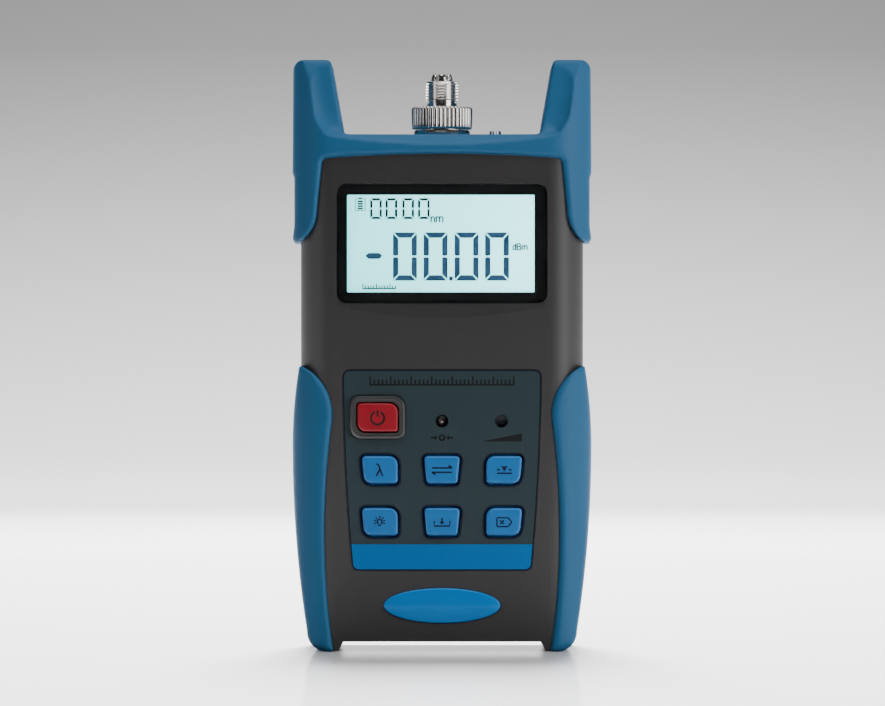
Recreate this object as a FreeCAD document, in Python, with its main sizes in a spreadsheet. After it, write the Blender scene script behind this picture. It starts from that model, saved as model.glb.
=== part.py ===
"""Hand-held optical power meter, modelled as a parametric FreeCAD document.

Frame: +Z up, +X to the meter's right as its user sees it, the front face looks along -Y.
The origin is the middle of the meter's outline on the surface that it stands on.
All sizes are millimetres and live in the document's spreadsheet.
"""
import FreeCAD, Part
import math
import os
import re
import Sketcher

# ---------------------------------------------------------------- driving dimensions
SIZES = [
    # housing
    ("case_width", 84.0, "housing width between its bare sides"),
    ("case_depth", 30.6, "housing depth, front face to rear face"),
    ("case_corner", 10.5, "radius of the housing's upright edges"),
    ("case_top", 150.2, "height of the housing's top face"),
    ("case_base", 2.95, "height of the housing's underside over the floor"),
    ("foot_reach", 12.9, "how far each foot reaches in from the housing's side"),
    ("foot_slant", 1.5, "how far each foot's inner side leans outwards"),
    ("foot_lift", 0.3, "height of the plastic feet over the floor"),
    ("face_wall", 2.2, "thickness of the front and rear walls"),
    ("side_wall", 3.4, "thickness of the side walls, rubber rebate included"),
    ("end_wall", 2.2, "thickness of the top and bottom walls"),
    ("cavity_corner", 8.0, "radius of the cavity's upright edges"),
    ("over", 1.0, "how far a tool stands outside the face that it cuts"),
    ("through", 5.0, "how far a tool runs past a wall that it goes through"),
    ("weld", 0.2, "how far joined pieces of one body run into each other"),
    # rubber guards
    ("rubber_proud", 1.4, "how far the rubber stands over the housing's faces"),
    ("rubber_rebate", 1.2, "depth of the housing's rebate under the rubber"),
    ("rubber_corner", 13.6, "radius of the rubber's upright edges"),
    ("rubber_gap", 0.05, "fitting gap between rubber and housing"),
    ("guard_flank", 2.5, "how far the guard's legs stand out from the housing's sides"),
    ("bar_cover", 2.7, "thickness of the guard over the housing's top face"),
    ("bar_drop", 3.2, "how far the guard's bar hangs over the front, at the middle"),
    ("bar_arch", 1.4, "rise of the arch in the bar's lower edge"),
    ("horn_rise", 22.1, "height of the horns over the bar"),
    ("horn_root", 15.4, "width of a horn where it meets the bar"),
    ("horn_tip", 11.3, "width of a horn at its flat top"),
    ("horn_lean", 0.3, "how far the horns' outer sides lean in at the top"),
    ("horn_corner", 3.0, "radius of a horn's outer top corner"),
    ("horn_nip", 1.6, "radius of a horn's inner top corner"),
    ("horn_sweep", 112.0, "radius of the surface that thins the horns towards their tips"),
    ("horn_thin", 3.9, "how much the horns' tips are thinned, front and rear"),
    ("sweep_start", 1.0, "height over the housing where that surface starts"),
    ("scoop_depth", 3.4, "depth of the drafted scoop behind the bar, front and rear"),
    ("scoop_draft", 48.0, "slope of the scoop's walls in degrees, from the depth's direction"),
    ("scoop_sag", 226.0, "radius of the scoop's lower edge"),
    ("scoop_in", 18.5, "distance from the guard's side to the end of that edge"),
    ("scoop_low", 1.2, "height of that end over the housing"),
    ("scoop_turn_in", 10.1, "distance from the guard's side to the scoop's lower corner"),
    ("scoop_turn_rise", 2.4, "height of that corner over the housing"),
    ("scoop_turn_radius", 6.5, "radius of that corner"),
    ("scoop_side_in", 6.3, "distance from the guard's side to the scoop's steep edge"),
    ("scoop_side_rise", 7.0, "height where that edge starts, over the housing"),
    ("scoop_side_radius", 40.0, "radius of the lower part of that edge"),
    ("scoop_upper_in", 4.3, "distance from the guard's side to that edge's upper part"),
    ("scoop_upper_rise", 15.3, "height of that upper part over the housing"),
    ("scoop_lean", 1.4, "how far that edge still leans out at the horns' tips"),
    ("leg_cover", 6.7, "how far a guard leg reaches over the front face"),
    ("leg_lean", 1.6, "how far a leg's straight inner edge leans outwards"),
    ("leg_drop", 15.0, "length of a guard leg's straight inner edge"),
    ("leg_turn", 10.3, "height of the curved end of a guard leg"),
    ("leg_point", 1.0, "how far a leg's pointed end stands in from its side"),
    ("leg_end", 1.6, "height of the upright stretch over a leg's point"),
    ("leg_waist", 0.6, "depth of the shallow waist in a leg's outer side"),
    ("waist_height", 14.4, "height of that waist"),
    ("waist_end", 1.2, "height over which the waist runs out at its top"),
    ("soft_edge", 0.9, "rounding of the rubber's front and rear edges"),
    ("grip_top", 84.6, "height of the lower grips' pointed top"),
    ("grip_shoulder", 16.6, "height of the curved shoulder below that point"),
    ("grip_bow_radius", 15.8, "radius of that shoulder"),
    ("grip_cover", 9.6, "how far a grip reaches over the front face at its shoulder"),
    ("grip_flare", 0.4, "how much further a grip reaches in at its foot than at its shoulder"),
    ("grip_point", 0.3, "how far a grip's pointed top stands out from the housing's side"),
    ("grip_edge_radius", 238.0, "radius of a grip's long inner edge"),
    ("grip_belly", 2.5, "how far a grip's belly stands out from the housing's side"),
    ("grip_belly_height", 61.0, "height of that belly"),
    ("grip_toe", 6.0, "height where a grip's outer side turns into its foot"),
    ("grip_toe_in", 2.0, "how far a grip's foot stands in from the housing's side"),
    ("grip_upper_radius", 140.0, "radius of a grip's outer side over the belly"),
    ("grip_lower_radius", 346.0, "radius of a grip's outer side under the belly"),
    ("grip_foot_corner", 5.4, "radius of a foot's outer corner"),
    # display
    ("window_width", 62.0, "window width"),
    ("window_height", 35.1, "window height"),
    ("window_middle", 120.55, "height of the window's centre"),
    ("window_thick", 1.4, "window thickness"),
    ("window_sunk", 0.6, "how far the window lies below the front face"),
    ("window_corner", 2.8, "window corner radius"),
    ("window_gap", 0.15, "gap round the window in its recess"),
    ("window_ledge", 1.2, "thickness of the ledge that carries the window"),
    ("window_rim", 1.2, "width of the wall round the window's recess, on the inside"),
    ("view_width", 55.8, "width of the display's viewing area"),
    ("view_height", 29.4, "height of the display's viewing area"),
    ("view_margin", 0.6, "clear margin of the housing's opening round the view"),
    ("glass_border", 2.2, "border of the display glass round the view"),
    ("glass_thick", 1.8, "display glass thickness"),
    ("guide_thick", 2.1, "light guide thickness"),
    ("strip_width", 1.4, "width of the elastomer contact strips"),
    ("strip_gap", 0.2, "gap between a contact strip and the light guide"),
    ("strip_in", 1.5, "distance from a contact strip's end to the glass's end"),
    ("smile_drop", 4.4, "height of the crescent facet under the window"),
    ("smile_radius", 138.5, "radius of the crescent's lower edge"),
    ("smile_depth", 0.9, "depth of the crescent facet at the window"),
    ("smile_in", 0.4, "how far the crescent ends inside the window's sides"),
    # keypad
    ("panel_top", 83.2, "height of the keypad film's top edge"),
    ("panel_foot", 24.0, "height of the keypad film's bottom edge"),
    ("panel_top_half", 29.3, "half width of the film at its top"),
    ("panel_foot_half", 26.4, "half width of the film at its foot"),
    ("panel_side_radius", 700.0, "radius of the film's bowed sides"),
    ("panel_corner", 2.0, "film corner radius"),
    ("film_thick", 0.4, "film thickness"),
    ("film_sunk", 0.15, "how far the film lies below the front face"),
    ("film_gap", 0.2, "gap round the film in its recess"),
    ("key_width", 10.7, "key width at its top"),
    ("key_height", 8.2, "key height"),
    ("key_gap", 0.6, "gap round each key"),
    ("key_slant", 0.8, "how far a key's outer side leans in at its foot"),
    ("key_round", 2.6, "a key's large corner radius"),
    ("key_nip", 1.1, "a key's small corner radius"),
    ("key_pitch", 18.4, "distance between key columns"),
    ("upper_row", 53.65, "height of the upper key row"),
    ("lower_row", 38.3, "height of the lower key row"),
    ("key_proud", 1.0, "how far the keys stand over the front face"),
    ("key_edge", 0.5, "chamfer of a key's front edge"),
    ("key_lip", 0.9, "width of the lip that keeps a key in the case"),
    ("lip_thick", 0.9, "thickness of that lip"),
    ("key_float", 0.1, "play between a key's lip and the front wall"),
    ("key_travel", 0.6, "how far a key goes in"),
    ("power_across", -19.0, "sideways place of the power button"),
    ("power_height", 69.15, "height of the power button's centre"),
    ("power_width", 12.1, "power button width"),
    ("power_tall", 8.6, "power button height"),
    ("power_gap", 0.35, "gap round the power button"),
    ("power_proud", 1.3, "how far the power button stands over the front face"),
    ("collar_rim", 1.7, "width of the collar round the power button"),
    ("collar_proud", 1.4, "how far the collar stands over the front face"),
    ("collar_round", 3.6, "large corner radius of the collar"),
    ("collar_nip", 2.2, "small corner radius of the collar"),
    ("port_radius", 1.9, "radius of the sensor and trimmer holes"),
    ("port_height", 68.1, "height of those two holes"),
    ("sensor_across", 0.0, "sideways place of the light sensor"),
    ("trimmer_across", 17.6, "sideways place of the trimmer"),
    ("badge_width", 34.5, "oval badge width"),
    ("badge_tall", 10.4, "oval badge height"),
    ("badge_height", 13.6, "height of the badge's centre"),
    ("badge_thick", 1.1, "badge thickness"),
    ("badge_sunk", 0.5, "depth of the badge's recess"),
    ("badge_edge", 0.4, "chamfer round the badge"),
    # inside
    ("board_sunk", 7.3, "distance from the front face to the board's front"),
    ("board_thick", 1.6, "circuit board thickness"),
    ("board_inset", 7.0, "distance from the housing's side to the board's edge"),
    ("board_top", 138.0, "height of the board's top edge"),
    ("board_foot", 17.0, "height of the board's bottom edge"),
    ("pillar_inset", 9.0, "distance from the housing's side to the board's pillars"),
    ("pillar_upper", 98.5, "height of the upper board pillars"),
    ("pillar_lower", 30.0, "height of the lower board pillars"),
    ("pillar_radius", 2.2, "radius of the board's pillars"),
    ("mat_thick", 1.0, "thickness of the keypad mat's sheet"),
    ("mat_margin", 3.0, "how far the mat reaches past the keys"),
    ("mat_branch", 4.0, "how far the mat reaches past the power button"),
    ("mat_waist", 1.0, "how far the mat reaches over the upper keys"),
    ("dome_radius", 2.6, "radius of the mat's domes"),
    ("sensor_radius", 1.5, "radius of the light sensor's dome"),
    ("sensor_length", 5.4, "length of the light sensor"),
    ("sensor_flange", 1.9, "radius of the light sensor's flange"),
    ("sensor_rim", 1.0, "thickness of that flange"),
    ("trimmer_side", 6.4, "side of the trimmer's square body"),
    ("trimmer_thick", 3.6, "thickness of the trimmer's body"),
    ("rotor_radius", 1.7, "radius of the trimmer's rotor"),
    ("rotor_thick", 1.6, "thickness of the trimmer's rotor"),
    ("rotor_slot", 0.5, "width of the rotor's cross slot"),
    ("running_gap", 0.06, "radial clearance of turning and sliding fits"),
    # batteries
    ("cell_radius", 5.25, "battery cell radius"),
    ("cell_length", 44.0, "battery cell length without its button"),
    ("cell_pitch", 11.1, "distance between battery cells"),
    ("bay_foot", 27.6, "height of the battery bay's lower end"),
    ("bay_side", 0.6, "play beside the outer cells"),
    ("bay_wall", 1.2, "thickness of the battery tray's floor"),
    ("bay_rim", 3.5, "width of the rim that carries the battery door"),
    ("spring_room", 3.4, "room for the spring at a cell's flat end"),
    ("button_rise", 0.8, "height of a cell's button"),
    ("button_radius", 1.9, "radius of a cell's button"),
    ("contact_gap", 0.1, "gap between a contact and its cell"),
    ("door_thick", 1.6, "battery door thickness"),
    ("door_rest", 2.3, "width of the ledge under the battery door"),
    ("door_gap", 0.2, "gap round the battery door"),
    ("notch_radius", 8.0, "radius of the door's thumb notch"),
    ("notch_depth", 0.9, "depth of the thumb notch"),
    ("notch_width", 14.0, "width of the thumb notch"),
    ("notch_drop", 5.0, "distance from the bay's top to the middle of the notch"),
    ("tab_width", 5.0, "width of the door's two foot tabs"),
    ("tab_across", 10.0, "sideways place of the foot tabs"),
    ("tab_reach", 1.5, "how far the foot tabs reach behind the rear wall"),
    ("tab_thick", 1.0, "thickness of the foot tabs"),
    ("tab_room", 1.9, "room over a tab in its slot, for tilting the door"),
    ("tab_play", 0.3, "play beside a tab in its slot"),
    ("tab_end_room", 1.0, "room past a tab's end"),
    ("hook_step", 0.2, "step between the door's inner face and a tab"),
    ("hook_gap", 0.3, "gap between a tab and the bay's lower wall"),
    ("contact_thick", 0.4, "thickness of the contact metal"),
    ("leaf_drop", 1.0, "how far a leaf's free end stands back from its tip"),
    # screws
    ("boss_inset", 15.0, "distance from the housing's side to the case screws"),
    ("boss_upper", 142.6, "height of the upper case screws"),
    ("boss_lower", 11.6, "height of the lower case screws"),
    ("boss_radius", 3.2, "radius of the screw bosses"),
    ("screw_radius", 1.25, "case screw thread radius"),
    ("screw_head", 2.3, "case screw head radius"),
    ("head_thick", 1.5, "case screw head thickness"),
    ("head_sunk", 3.0, "depth of the case screws' counterbores"),
    ("screw_length", 16.0, "case screw length under its head"),
    ("tip_room", 0.5, "room past a case screw's tip"),
    ("bore_gap", 0.2, "clearance round a screw that passes through"),
    ("head_gap", 0.3, "clearance round a case screw's head"),
    ("board_screw", 0.9, "board screw thread radius"),
    ("board_screw_length", 4.0, "board screw length under its head"),
    ("board_play", 0.15, "clearance round a board screw in the board"),
    ("board_head", 1.62, "board screw head radius"),
    ("board_head_thick", 1.0, "board screw head thickness"),
    # fibre port
    ("port_step", 1.73, "height of the port's flange over the guard"),
    ("flange_radius", 8.2, "radius of that flange"),
    ("flange_bulge", 0.3, "how far the flange's waisted rim stands out"),
    ("base_radius", 7.4, "radius of the port's base through the housing"),
    ("nut_radius", 10.0, "radius of the nut that holds the port inside the housing"),
    ("nut_thick", 1.8, "thickness of that nut"),
    ("base_tail", 1.0, "how far the base reaches below its nut"),
    ("spigot_radius", 6.0, "radius of the base's threaded spigot"),
    ("spigot_height", 4.0, "height of the spigot over the flange"),
    ("ring_radius", 9.1, "radius of the knurled ring"),
    ("ring_height", 6.8, "height of the knurled ring"),
    ("ring_gap", 0.15, "gap between the ring and the flange at rest"),
    ("ring_lip", 1.1, "thickness of the ring's top lip"),
    ("ring_edge", 0.4, "chamfer of the knurled ring's edges"),
    ("lip_gap", 0.05, "play of the barrel's flange under the ring's lip"),
    ("knurl_count", 60, "ridges round the knurled ring"),
    ("knurl_depth", 0.35, "depth of the knurls"),
    ("neck_radius", 4.5, "radius of the barrel's neck"),
    ("neck_height", 1.7, "height of the neck over the ring"),
    ("barrel_radius", 4.95, "radius over the barrel's thread"),
    ("barrel_height", 5.9, "height of the threaded barrel"),
    ("barrel_flange", 5.6, "radius of the barrel's flange inside the ring"),
    ("barrel_edge", 0.4, "chamfer of the barrel's mouth"),
    ("barrel_gap", 0.1, "gap between the barrel's flange and the spigot"),
    ("ring_mouth", 5.15, "radius of the hole in the ring's top lip"),
    ("key_slot", 2.1, "width of the barrel's key slot"),
    ("slot_floor", 0.4, "wall left between the key slot and the sleeve"),
    ("sleeve_radius", 3.2, "outer radius of the inner sleeve"),
    ("sleeve_rise", 2.7, "height of the sleeve over the barrel"),
    ("sleeve_gap", 0.25, "clearance round the sleeve in the spigot"),
    ("sleeve_seat", 1.0, "height of the sleeve's foot over the flange"),
    ("sleeve_edge", 0.3, "chamfer of the sleeve's tip"),
    ("ferrule_radius", 1.25, "radius of the bore that takes the fibre's ferrule"),
    ("can_radius", 4.6, "radius of the photodiode's can"),
    ("can_height", 3.6, "height of the photodiode's can"),
    ("pin_radius", 0.25, "radius of the photodiode's pins"),
    ("pin_length", 3.0, "length of those pins"),
    ("pin_circle", 1.9, "radius of the circle that those pins stand on"),
    ("lanyard_across", 15.85, "sideways place of the lanyard screw"),
    ("lanyard_ahead", 5.0, "distance of the lanyard screw ahead of the middle plane"),
    ("lanyard_head", 1.75, "radius of the lanyard screw's head"),
    ("lanyard_rise", 1.3, "height of that head over the guard"),
    ("lanyard_thread", 1.0, "radius of the lanyard screw's thread"),
]
DERIVED = [
    ("toe_radius", "=grip_foot_corner * 1.08", "radius of the arc at a foot's leaning outer corner"),
    ("foot_inset", "=case_width / 2 - foot_reach", "half the clear width between the two feet"),
    ("board_depth", "=case_depth / 2 - board_sunk", "the board's front, ahead of the middle plane"),
    ("board_half", "=case_width / 2 - board_inset", "half width of the circuit board"),
    ("pillar_across", "=case_width / 2 - pillar_inset", "sideways place of the board's pillars"),
    ("boss_across", "=case_width / 2 - boss_inset", "sideways place of the case screws"),
]
NAMES = {alias for alias, _, _ in SIZES + DERIVED}

document = FreeCAD.newDocument("optical_power_meter")
sheet = document.addObject("Spreadsheet::Sheet", "sizes")
for row, (alias, number, meaning) in enumerate(SIZES + DERIVED, start=1):
    sheet.set("A%d" % row, meaning)
    sheet.set("B%d" % row, str(number))
    sheet.setAlias("B%d" % row, alias)
document.recompute()


# ---------------------------------------------------------------- helpers
def bound(text):
    """The expression with each size's name pointed at the spreadsheet."""
    return re.sub(r"[a-z_]+", lambda word: "sizes." + word[0] if word[0] in NAMES else word[0], text)


def value(text):
    """The number that an expression gives now."""
    return float(sheet.evalExpression(bound(text)))


def bind(thing, path, text):
    """Tie a property or a constraint to an expression of named sizes."""
    thing.setExpression(path, bound(text))


def new_body(label):
    body = document.addObject("PartDesign::Body", label)
    body.Label = label
    return body


def new_sketch(body, plane, ahead="0"):
    """A sketch on one of the body's own planes, moved along the plane's normal."""
    sketch = body.newObject("Sketcher::SketchObject", body.Name + "_sketch")
    origin_plane = [item for item in body.Origin.OriginFeatures if item.Role == plane][0]
    sketch.AttachmentSupport = [(origin_plane, "")]
    sketch.MapMode = "FlatFace"
    if ahead != "0":
        bind(sketch, "AttachmentOffset.Base.z", ahead)
    return sketch


def pin_down(sketch, item, end, corner):
    """Fix one end of an edge at two expressions."""
    for kind, text in (("DistanceX", corner[0]), ("DistanceY", corner[1])):
        number = value(text)
        index = sketch.addConstraint(Sketcher.Constraint(kind, -1, 1, item, end, number))
        if re.search("[a-z]", text):
            bind(sketch, "Constraints[%d]" % index, text)


def draw(sketch, corners, arcs=None):
    """Close an outline through the corners.

    arcs[i] is (radius, turn) for the edge that leaves corner i. A turn of +1 goes round
    anticlockwise, so it bulges to the right of its way; -1 bulges to the left.
    """
    arcs = arcs or {}
    places = [FreeCAD.Vector(value(u), value(v), 0) for u, v in corners]
    last = None
    first = None
    for index, start in enumerate(places):
        end = places[(index + 1) % len(places)]
        head, tail = 1, 2
        if index in arcs:
            text, turn = arcs[index]
            radius = value(text)
            chord = end - start
            rise = math.sqrt(max(radius ** 2 - chord.Length ** 2 / 4, 0.0))
            side = FreeCAD.Vector(-chord.y, chord.x, 0).normalize() * (turn * rise)
            centre = (start + end) * 0.5 + side
            spokes = [start - centre, end - centre]
            if turn < 0:
                spokes.reverse()
                head, tail = 2, 1
            angles = [math.atan2(spoke.y, spoke.x) for spoke in spokes]
            circle = Part.Circle(centre, FreeCAD.Vector(0, 0, 1), radius)
            item = sketch.addGeometry(Part.ArcOfCircle(circle, *angles))
            mark = sketch.addConstraint(Sketcher.Constraint("Radius", item, radius))
            bind(sketch, "Constraints[%d]" % mark, text)
        else:
            item = sketch.addGeometry(Part.LineSegment(start, end))
        pin_down(sketch, item, head, corners[index])
        if last:
            sketch.addConstraint(Sketcher.Constraint("Coincident", last[0], last[1], item, head))
        else:
            first = (item, head)
        last = (item, tail)
    sketch.addConstraint(Sketcher.Constraint("Coincident", last[0], last[1], first[0], first[1]))


def draw_circle(sketch, radius, across="0", height="0"):
    centre = FreeCAD.Vector(value(across), value(height), 0)
    circle = Part.Circle(centre, FreeCAD.Vector(0, 0, 1), value(radius))
    item = sketch.addGeometry(circle)
    pin_down(sketch, item, 3, (across, height))
    mark = sketch.addConstraint(Sketcher.Constraint("Radius", item, value(radius)))
    bind(sketch, "Constraints[%d]" % mark, radius)


def pad(body, sketch, length, reverse=False, both=False):
    feature = body.newObject("PartDesign::Pad", body.Name + "_pad")
    feature.Profile = sketch
    if both:
        feature.SideType = "Symmetric"
    feature.Reversed = reverse
    bind(feature, "Length", length)
    body.Tip = feature
    document.recompute()
    return feature


def slab(label, corners, front, thick, arcs=None):
    """A plate with an XZ outline; front is its distance ahead of the middle plane."""
    body = new_body(label)
    sketch = new_sketch(body, "XZ_Plane", front)
    draw(sketch, corners, arcs)
    pad(body, sketch, thick, reverse=True)
    return body


def rod(label, radius, front, thick, across="0", height="0"):
    """A round bar along Y; front is its front end's distance ahead of the middle plane."""
    body = new_body(label)
    sketch = new_sketch(body, "XZ_Plane", front)
    draw_circle(sketch, radius, across, height)
    pad(body, sketch, thick, reverse=True)
    return body


def turned(label, profile, arcs=None):
    """A solid of revolution about Z from a profile of (radius, height) corners."""
    body = new_body(label)
    sketch = new_sketch(body, "XZ_Plane")
    draw(sketch, profile, arcs)
    feature = body.newObject("PartDesign::Revolution", label + "_turn")
    feature.Profile = sketch
    feature.ReferenceAxis = (sketch, ["V_Axis"])
    feature.Angle = 360
    body.Tip = feature
    document.recompute()
    return body


def block(left, right, foot, top):
    """Corners of an upright rectangle."""
    return [(left, foot), (right, foot), (right, top), (left, top)]


def round_upright(body, corners, radius):
    """Round the edges along Y that pass through the named corners of an XZ outline."""
    spots = [(value(u), value(v)) for u, v in corners]
    feature = body.Tip
    names = []
    for index, edge in enumerate(feature.Shape.Edges):
        ends = [vertex.Point for vertex in edge.Vertexes]
        if len(ends) < 2 or (ends[0] - ends[1]).Length < 0.01:
            continue
        middle = (ends[0] + ends[1]) * 0.5
        along = abs((ends[0] - ends[1]).normalize().y) > 0.99
        if along and any(math.hypot(middle.x - u, middle.z - v) < 0.05 for u, v in spots):
            names.append("Edge%d" % (index + 1))
    fillet = body.newObject("PartDesign::Fillet", body.Name + "_round")
    fillet.Base = (feature, names)
    bind(fillet, "Radius", radius)
    body.Tip = fillet
    document.recompute()
    return body


def chamfer_front(body, size, front):
    """Chamfer the edges round a body's front face."""
    feature = body.Tip
    level = -value(front)
    names = []
    for index, edge in enumerate(feature.Shape.Edges):
        if all(abs(vertex.Point.y - level) < 0.01 for vertex in edge.Vertexes):
            if abs(edge.valueAt(sum(edge.ParameterRange) / 2).y - level) < 0.01:
                names.append("Edge%d" % (index + 1))
    bevel = body.newObject("PartDesign::Chamfer", body.Name + "_bevel")
    bevel.Base = (feature, names)
    bind(bevel, "Size", size)
    body.Tip = bevel
    document.recompute()
    return body


def fuse(name, *pieces):
    joined = document.addObject("Part::MultiFuse", name)
    joined.Shapes = list(pieces)
    return joined


def cut(name, base, *tools):
    tool = tools[0] if len(tools) == 1 else fuse(name + "_tools", *tools)
    result = document.addObject("Part::Cut", name)
    result.Base = base
    result.Tool = tool
    return result


def common(name, first, second):
    result = document.addObject("Part::Common", name)
    result.Base = first
    result.Tool = second
    return result


def mirrored(name, source):
    """The same piece on the meter's other side."""
    twin = document.addObject("Part::Mirroring", name)
    twin.Source = source
    twin.Normal = FreeCAD.Vector(1, 0, 0)
    return twin


def section(label, half_width, half_depth, corner, foot, top):
    """An upright block with rounded upright edges."""
    body = new_body(label)
    sketch = new_sketch(body, "XY_Plane", foot)
    inner_x = "%s - (%s)" % (half_width, corner)
    inner_y = "%s - (%s)" % (half_depth, corner)
    draw(sketch,
         [("-(%s)" % inner_x, "-(%s)" % half_depth), (inner_x, "-(%s)" % half_depth),
          (half_width, "-(%s)" % inner_y), (half_width, inner_y),
          (inner_x, half_depth), ("-(%s)" % inner_x, half_depth),
          ("-(%s)" % half_width, inner_y), ("-(%s)" % half_width, "-(%s)" % inner_y)],
         {index: (corner, +1) for index in (1, 3, 5, 7)})
    pad(body, sketch, "(%s) - (%s)" % (top, foot))
    return body


# ---------------------------------------------------------------- shared planes
HALF = "case_width / 2"
FACE = "case_depth / 2"
INNER_FACE = "case_depth / 2 - face_wall"
BAR_TOP = "case_top + bar_cover"
HORN_TOP = "case_top + bar_cover + horn_rise"
RUBBER_FACE = "case_depth / 2 + rubber_proud"
DEEP = "case_depth + 2 * rubber_proud + 2 * over"
PORT_SEAT = "case_top + bar_cover + port_step"
RING_FOOT = PORT_SEAT + " + ring_gap"
RING_TOP = RING_FOOT + " + ring_height"
BARREL_FOOT = RING_TOP + " + neck_height"
BARREL_TOP = BARREL_FOOT + " + barrel_height"


# ---------------------------------------------------------------- rubber outlines
def top_guard_outline():
    """Two horns, the bar between them and two legs, as one plate through the depth."""
    bar_end = "case_top - bar_drop - bar_arch"
    outer = HALF + " + guard_flank"
    inner = HALF + " - leg_cover"
    tip = "case_top - bar_drop - bar_arch - leg_drop - leg_turn"
    bend = "case_top - bar_drop - bar_arch - leg_drop"
    waist = outer + " - leg_waist"
    right = [
        (inner, bar_end),
        (inner + " + leg_lean", bend),
        (outer + " - leg_point", tip),
        (outer, tip + " + leg_end"),
        (waist, bend + " - waist_height / 3"),
        (waist, bend + " + waist_height * 2 / 3"),
        (outer, bend + " + waist_height * 2 / 3 + waist_end"),
        (outer + " - horn_lean", HORN_TOP),
        (outer + " - horn_lean - horn_tip", HORN_TOP),
        (outer + " - horn_root", BAR_TOP),
    ]
    left = [("-(%s)" % u, v) for u, v in reversed(right)]
    leg_width = "(leg_cover + guard_flank - leg_lean - leg_point)"
    bend_radius = "(leg_turn ^ 2 + %s ^ 2) / (2 * %s)" % (leg_width, leg_width)
    arch_radius = "((case_width / 2 - leg_cover) ^ 2 + bar_arch ^ 2) / (2 * bar_arch)"
    corners = right + left
    last = len(corners) - 1
    body = slab("guard_outline", corners, RUBBER_FACE + " + over", DEEP,
                {1: (bend_radius, +1), last - 2: (bend_radius, +1), last: (arch_radius, -1)})
    both = [right[7], left[2]]
    round_upright(body, both, "horn_corner")
    round_upright(body, [right[8], left[1]], "horn_nip")
    round_upright(body, [right[9], left[0]], "horn_nip")
    round_upright(body, [right[0], left[9]], "horn_nip")
    return body


def grip_outline():
    """The right grip: a pointed top, a bowed inner edge and a foot."""
    shoulder = HALF + " - grip_cover"
    belly = HALF + " + grip_belly"
    toe = HALF + " - grip_toe_in"
    corners = [
        (HALF + " + grip_point", "grip_top"),
        (shoulder, "grip_top - grip_shoulder"),
        (shoulder + " - grip_flare", "0"),
        (toe + " - grip_foot_corner", "0"),
        (toe, "grip_toe"),
        (belly, "grip_belly_height"),
    ]
    return slab("grip_outline", corners, RUBBER_FACE + " + over", DEEP,
                {0: ("grip_bow_radius", +1), 1: ("grip_edge_radius", -1),
                 3: ("toe_radius", +1), 4: ("grip_lower_radius", +1),
                 5: ("grip_upper_radius", +1)})


# ---------------------------------------------------------------- housing
def housing_plate(label, side, toe, foot, top, feet):
    """The housing's front outline, narrowed at the foot to stay inside the grips."""
    low = [("%s - grip_foot_corner" % toe, foot), (toe, "grip_toe + %s" % foot)]
    if feet:
        low = [("foot_inset", "case_base"), ("foot_inset + foot_slant", foot)] + low
    right = low + [(side, "grip_belly_height"), (side, top)]
    left = [("-(%s)" % u, v) for u, v in reversed(right)]
    toe_arc = len(low) - 2
    mirror_arc = len(right) + 1
    arcs = {toe_arc: ("toe_radius", +1), toe_arc + 1: ("grip_lower_radius", +1),
            mirror_arc: ("grip_lower_radius", +1),
            mirror_arc + 1: ("toe_radius", +1)}
    return slab(label, right + left, FACE + " + over", "case_depth + 2 * over", arcs)


def make_housing():
    """The whole hollow housing, with its rebates for the rubber, before it is parted."""
    core_side = HALF + " - rubber_rebate"
    core_toe = HALF + " - grip_toe_in - rubber_proud - rubber_rebate"
    floor = "case_base + end_wall"
    ceiling = "case_top - end_wall"
    blank = section("case_blank", HALF, FACE, "case_corner", "foot_lift", "case_top")
    skin_plate = housing_plate("skin_plate", HALF, core_toe, "foot_lift", "case_top", True)
    core = section("case_core", core_side, FACE + " - rubber_rebate",
                   "case_corner - rubber_rebate", "foot_lift", "case_top")
    core_plate = housing_plate("core_plate", core_side, core_toe, "foot_lift", "case_top", True)
    room = section("cavity_room", HALF + " - side_wall", INNER_FACE, "cavity_corner",
                   floor, ceiling)
    room_plate = housing_plate("cavity_plate", HALF + " - side_wall", core_toe + " - end_wall",
                               floor, ceiling, False)
    skin = common("bare_skin", blank, skin_plate)
    skin = cut("rebated_skin", skin, guard_plate, grip_plate, other_grip_plate)
    solid = fuse("housing_solid", skin, common("rebated_core", core, core_plate))
    return cut("housing", solid, common("cavity", room, room_plate))


def rectangle_slab(label, half_width, half_height, front, thick, height="0", across="0"):
    """A plate with an upright rectangle for its outline."""
    return slab(label, block("%s - (%s)" % (across, half_width), "%s + (%s)" % (across, half_width),
                             "%s - (%s)" % (height, half_height),
                             "%s + (%s)" % (height, half_height)), front, thick)


def window_slab(label, margin, front, thick):
    """The window's rounded rectangle, grown by a margin."""
    wide = "window_width / 2 + %s" % margin
    low = "window_middle - window_height / 2 - %s" % margin
    high = "window_middle + window_height / 2 + %s" % margin
    corners = block("-(%s)" % wide, wide, low, high)
    body = slab(label, corners, front, thick)
    return round_upright(body, corners, "window_corner + %s" % margin)


def panel_slab(label, margin, front, thick):
    """The keypad film's outline: wide at the top, bowed sides, narrower foot."""
    top = "panel_top_half + %s" % margin
    foot = "panel_foot_half + %s" % margin
    corners = [("-(%s)" % foot, "panel_foot - %s" % margin), (foot, "panel_foot - %s" % margin),
               (top, "panel_top + %s" % margin), ("-(%s)" % top, "panel_top + %s" % margin)]
    body = slab(label, corners, front, thick,
                {1: ("panel_side_radius", +1), 3: ("panel_side_radius", +1)})
    return round_upright(body, corners, "panel_corner + %s" % margin)


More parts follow.
